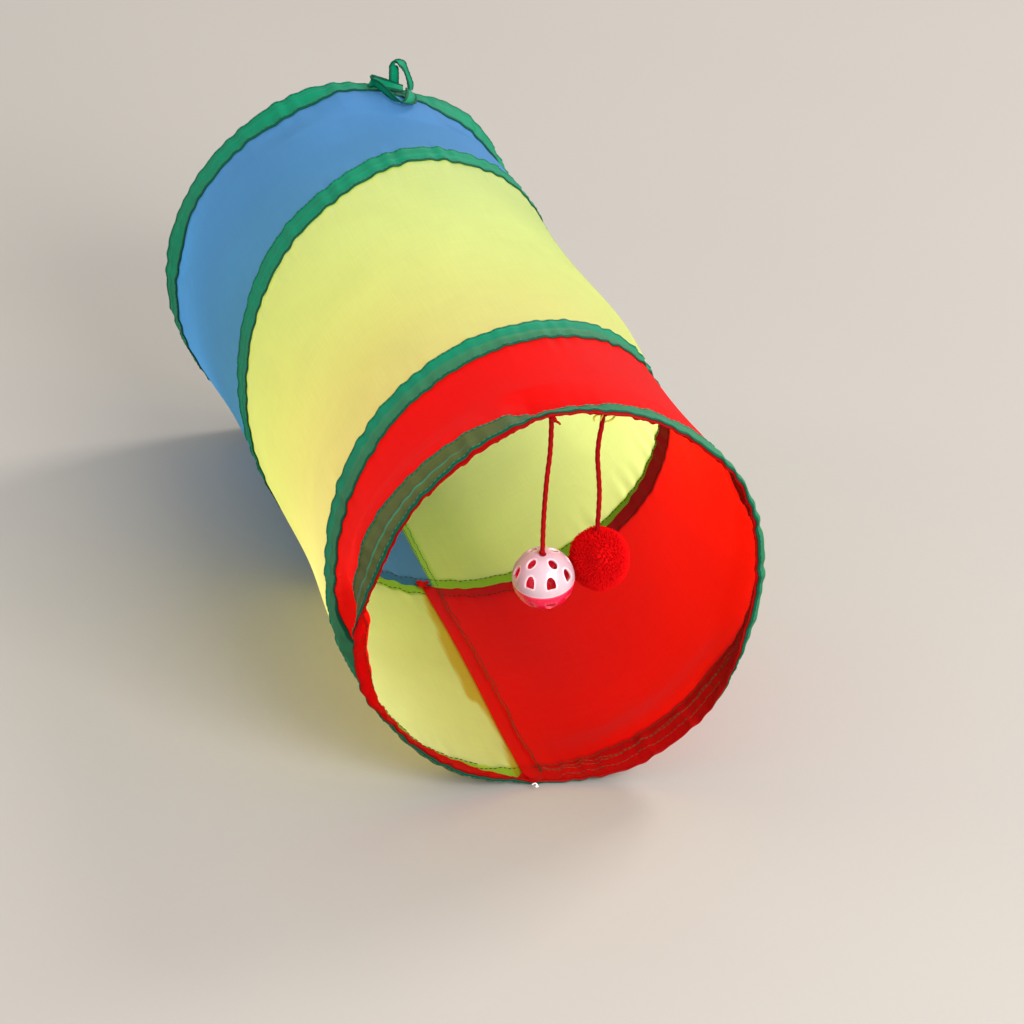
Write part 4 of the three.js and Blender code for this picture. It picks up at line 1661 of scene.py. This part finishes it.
class CATTUNNEL_OT_pompom(bpy.types.Operator):
    """Cover the pompom in short cut pile"""

    bl_idname = "cat_tunnel.pompom"
    bl_label = "Pompom"

    def execute(self, context):
        sizes = context.scene.cat_tunnel_sizes
        bm = bmesh.new()
        bmesh.ops.create_icosphere(bm, subdivisions=4, radius=1.0)
        rng = np.random.RandomState(12)
        waves = rng.normal(size=(5, 3)) * 3.0
        phases = rng.uniform(0, 2 * np.pi, 5)
        for vertex in bm.verts:
            way = np.array(vertex.co)
            lump = float(np.sin(waves @ way + phases).sum()) * POMPOM_LUMPS
            place = way * POMPOM_SHAPE * (POMPOM_CORE * (1 + lump)) + np.array(POMPOM_CENTRE)
            vertex.co = Vector(place) * MM
        values = {"Fibre Density": 2400000.0, "Fibre Length": sizes.fibre, "Lean": 0.3, "Seed": 5}
        values["Fibre Radius"] = sizes.fibre_thickness / 2
        values["Material"] = material_of("pile")
        piece = apply_tree("pompom_pile", mesh_object("pompom_core", bm), pile_tree(), values)
        piece.data.shade_smooth()
        stand_for(piece, "pompom")
        return {"FINISHED"}


class CATTUNNEL_OT_hang(bpy.types.Operator):
    """Work out each string's route, which is then left unused"""

    bl_idname = "cat_tunnel.hang"
    bl_label = "Hang Toys"

    def execute(self, context):
        for node, (places, toys) in HUNG.items():
            route = smooth_path(places, 30) * MM
        return {"FINISHED"}


# Knots, thread ends and lint

# Knots: material, place, size, thickness of the thread, and how far turned
KNOTS = (
    ("cord", (-14.2, -241.2, 244.2), 1.7, 0.85, 20),
    ("cord", (20.2, -229.6, 240.6), 1.9, 0.8, 70),
    ("cord", (-13.1, -244.3, 159.7), 1.7, 0.8, 130),
    ("olive_thread", (-3.4, 1.6, 1.9), 1.5, 0.5, 10),
)
# Loose thread ends and hairs of lint: material, thickness, and the places that each runs through
ENDS = (
    ("cord", 1.6, [(-14.4, -241.4, 244), (-12.4, -242.4, 243.4), (-10.4, -243, 242.2),
                   (-10.2, -243.4, 241.4)]),
    ("tail_thread", 1.2, [(20, -230, 241), (16.4, -231.6, 241), (13.6, -232.4, 239.4), (14, -232.6, 237.2)]),
    ("tail_thread", 1.3, [(26.6, -231, 241), (26, -231.6, 238.6), (23.8, -232, 236.8),
                          (20.8, -232.2, 236.2)]),
    ("tail_thread", 1.1, [(20.4, -230, 241), (18.6, -231.6, 239.2), (17.6, -232.2, 237)]),
    ("lint", 0.8, [(-6, -246.4, 4.2), (-4.6, -247.2, 5.4), (-3.2, -247.4, 4.4), (-4, -247.8, 3.2),
                   (-2.2, -247.8, 3.6)]),
)


def knot_path(place, size, turn):
    """An overhand knot pulled up tight."""
    t = np.linspace(0, 2 * np.pi, 60)
    reach = 1 + 0.42 * np.cos(3 * t)
    across, up = reach * np.cos(2 * t + np.radians(turn)), reach * np.sin(2 * t)
    return np.stack([across, 0.5 * np.sin(3 * t), up], axis=1) * size * 0.7 + np.array(place)


class CATTUNNEL_OT_trims(bpy.types.Operator):
    """Tie the knots and leave the thread ends, the scrap at the floor seam and the lint"""

    bl_idname = "cat_tunnel.trims"
    bl_label = "Knots and Ends"

    def execute(self, context):
        pieces = []
        for k, (key, place, size, thread, turn) in enumerate(KNOTS):
            knot = tube(f"knot_{k}", knot_path(place, size, turn), thread, 8, material_of(key))
            pieces.append((knot, key))
        for k, (key, thick, places) in enumerate(ENDS):
            path = smooth_path(places, 24)
            taper = thick / 2 * (1 - 0.3 * np.linspace(0, 1, 24) ** 3)
            pieces.append((tube(f"thread_end_{k}", path, taper, 7, material_of(key)), key))
        angle, along = np.meshgrid(np.linspace(-4.9, -0.9, 12), np.linspace(7.5, 0.4, 12), indexing="ij")
        rise = -1.5 - 0.5 * np.sin(angle * 2.2) * np.sin(along * 0.7) - 0.5 * smooth(along, 4, 8)
        thin = np.stack([skin(angle, along, rise), skin(angle, along, rise - 0.25)])
        pieces.append((folded_patch("seam_scrap", thin, material_of("red")), "red"))
        for piece, key in pieces:
            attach(piece, "root")
        return {"FINISHED"}


def folded_patch(name, layers, material):
    """A small closed scrap of cloth from an upper and a lower grid of places."""
    rows, columns = layers.shape[1:3]
    upper = layers[0].reshape(-1, 3)
    lower = layers[1].reshape(-1, 3)
    count = rows * columns
    faces = []
    for i in range(rows - 1):
        for j in range(columns - 1):
            k = i * columns + j
            quad = (k, k + 1, k + columns + 1, k + columns)
            faces.append(quad)
            faces.append(tuple(count + m for m in quad[::-1]))
    edge = list(range(columns))
    edge += [i * columns + columns - 1 for i in range(1, rows)]
    edge += [(rows - 1) * columns + j for j in range(columns - 2, -1, -1)]
    edge += [i * columns for i in range(rows - 2, 0, -1)]
    for k, here in enumerate(edge):
        there = edge[(k + 1) % len(edge)]
        faces.append((there, here, count + here, count + there))
    patch = object_from(name, np.concatenate([upper, lower]) * MM, faces, material)
    add_faces(patch.data)
    patch.data.uv_layers.new(name="cloth_uv")
    return patch


# Stage

FLOOR_HALF = 6.0
LIGHT_AIM = (0, 0, 0.1)
# The lights: name, place, width in metres, and tint
LIGHTS = (
    ("key", (2.2, 1.3, 2.2), 0.9, (1.0, 0.97, 0.93)),
    ("fill", (0.8, -2.5, 1.6), 1.6, (0.95, 0.98, 1.0)),
    ("side", (-2.6, 0.7, 0.4), 1.2, (1.0, 0.98, 0.9)),
)


class CATTUNNEL_OT_stage(bpy.types.Operator):
    """Lay the floor and set the soft lights"""

    bl_idname = "cat_tunnel.stage"
    bl_label = "Stage"

    def execute(self, context):
        settings = context.scene.cat_tunnel_stage
        corners = [(x * FLOOR_HALF, y * FLOOR_HALF, 0) for x, y in ((-1, -1), (1, -1), (1, 1), (-1, 1))]
        object_from("floor", corners, [(0, 1, 2, 3)], material_of("floor"))
        for name, place, width, tint in LIGHTS:
            data = bpy.data.lights.new(name, "AREA")
            data.size = width
            data.energy = getattr(settings, name)
            data.color = tint
            lamp = link(bpy.data.objects.new(name, data))
            lamp.location = place
            aim = Vector(LIGHT_AIM) - Vector(place)
            lamp.rotation_euler = aim.to_track_quat("-Z", "Y").to_euler()
        context.scene.view_settings.view_transform = "Standard"
        world = bpy.data.worlds.new("sky")
        context.scene.world = world
        world.use_nodes = True
        ground = world.node_tree.nodes["Background"]
        ground.inputs["Color"].default_value = (0.93, 0.96, 1.0, 1.0)
        ground.inputs["Strength"].default_value = settings.sky
        return {"FINISHED"}


class CATTUNNEL_PT_panel(bpy.types.Panel):
    """Buttons and settings for the tunnel"""

    bl_idname = "CATTUNNEL_PT_panel"
    bl_label = "Cat Tunnel"
    bl_space_type = "VIEW_3D"
    bl_region_type = "UI"
    bl_category = "Cat Tunnel"

    def draw(self, context):
        for operator in OPERATORS:
            self.layout.operator(operator.bl_idname)
        for settings in ("cat_tunnel_colours", "cat_tunnel_sizes", "cat_tunnel_stage"):
            box = self.layout.box()
            group = getattr(context.scene, settings)
            for key in group.__annotations__:
                box.prop(group, key)


OPERATORS = (
    CATTUNNEL_OT_camera,
    CATTUNNEL_OT_strings,
    CATTUNNEL_OT_panels,
    CATTUNNEL_OT_binding,
    CATTUNNEL_OT_loops,
    CATTUNNEL_OT_stitches,
    CATTUNNEL_OT_ball,
    CATTUNNEL_OT_pompom,
    CATTUNNEL_OT_hang,
    CATTUNNEL_OT_trims,
    CATTUNNEL_OT_stage,
)
CLASSES = (TunnelColours, TunnelSizes, TunnelStage, *OPERATORS, CATTUNNEL_PT_panel)


def register():
    for cls in CLASSES:
        bpy.utils.register_class(cls)
    bpy.types.Scene.cat_tunnel_colours = bpy.props.PointerProperty(type=TunnelColours)
    bpy.types.Scene.cat_tunnel_sizes = bpy.props.PointerProperty(type=TunnelSizes)
    bpy.types.Scene.cat_tunnel_stage = bpy.props.PointerProperty(type=TunnelStage)


def unregister():
    del bpy.types.Scene.cat_tunnel_stage
    del bpy.types.Scene.cat_tunnel_sizes
    del bpy.types.Scene.cat_tunnel_colours
    for cls in reversed(CLASSES):
        bpy.utils.unregister_class(cls)


def main():
    register()
    bpy.ops.cat_tunnel.camera()
    bpy.ops.cat_tunnel.strings()
    bpy.ops.cat_tunnel.panels()
    bpy.ops.cat_tunnel.binding()
    bpy.ops.cat_tunnel.loops()
    bpy.ops.cat_tunnel.stitches()
    bpy.ops.cat_tunnel.ball()
    bpy.ops.cat_tunnel.pompom()
    bpy.ops.cat_tunnel.hang()
    bpy.ops.cat_tunnel.trims()
    bpy.ops.cat_tunnel.stage()


if __name__ == "__main__":
    main()
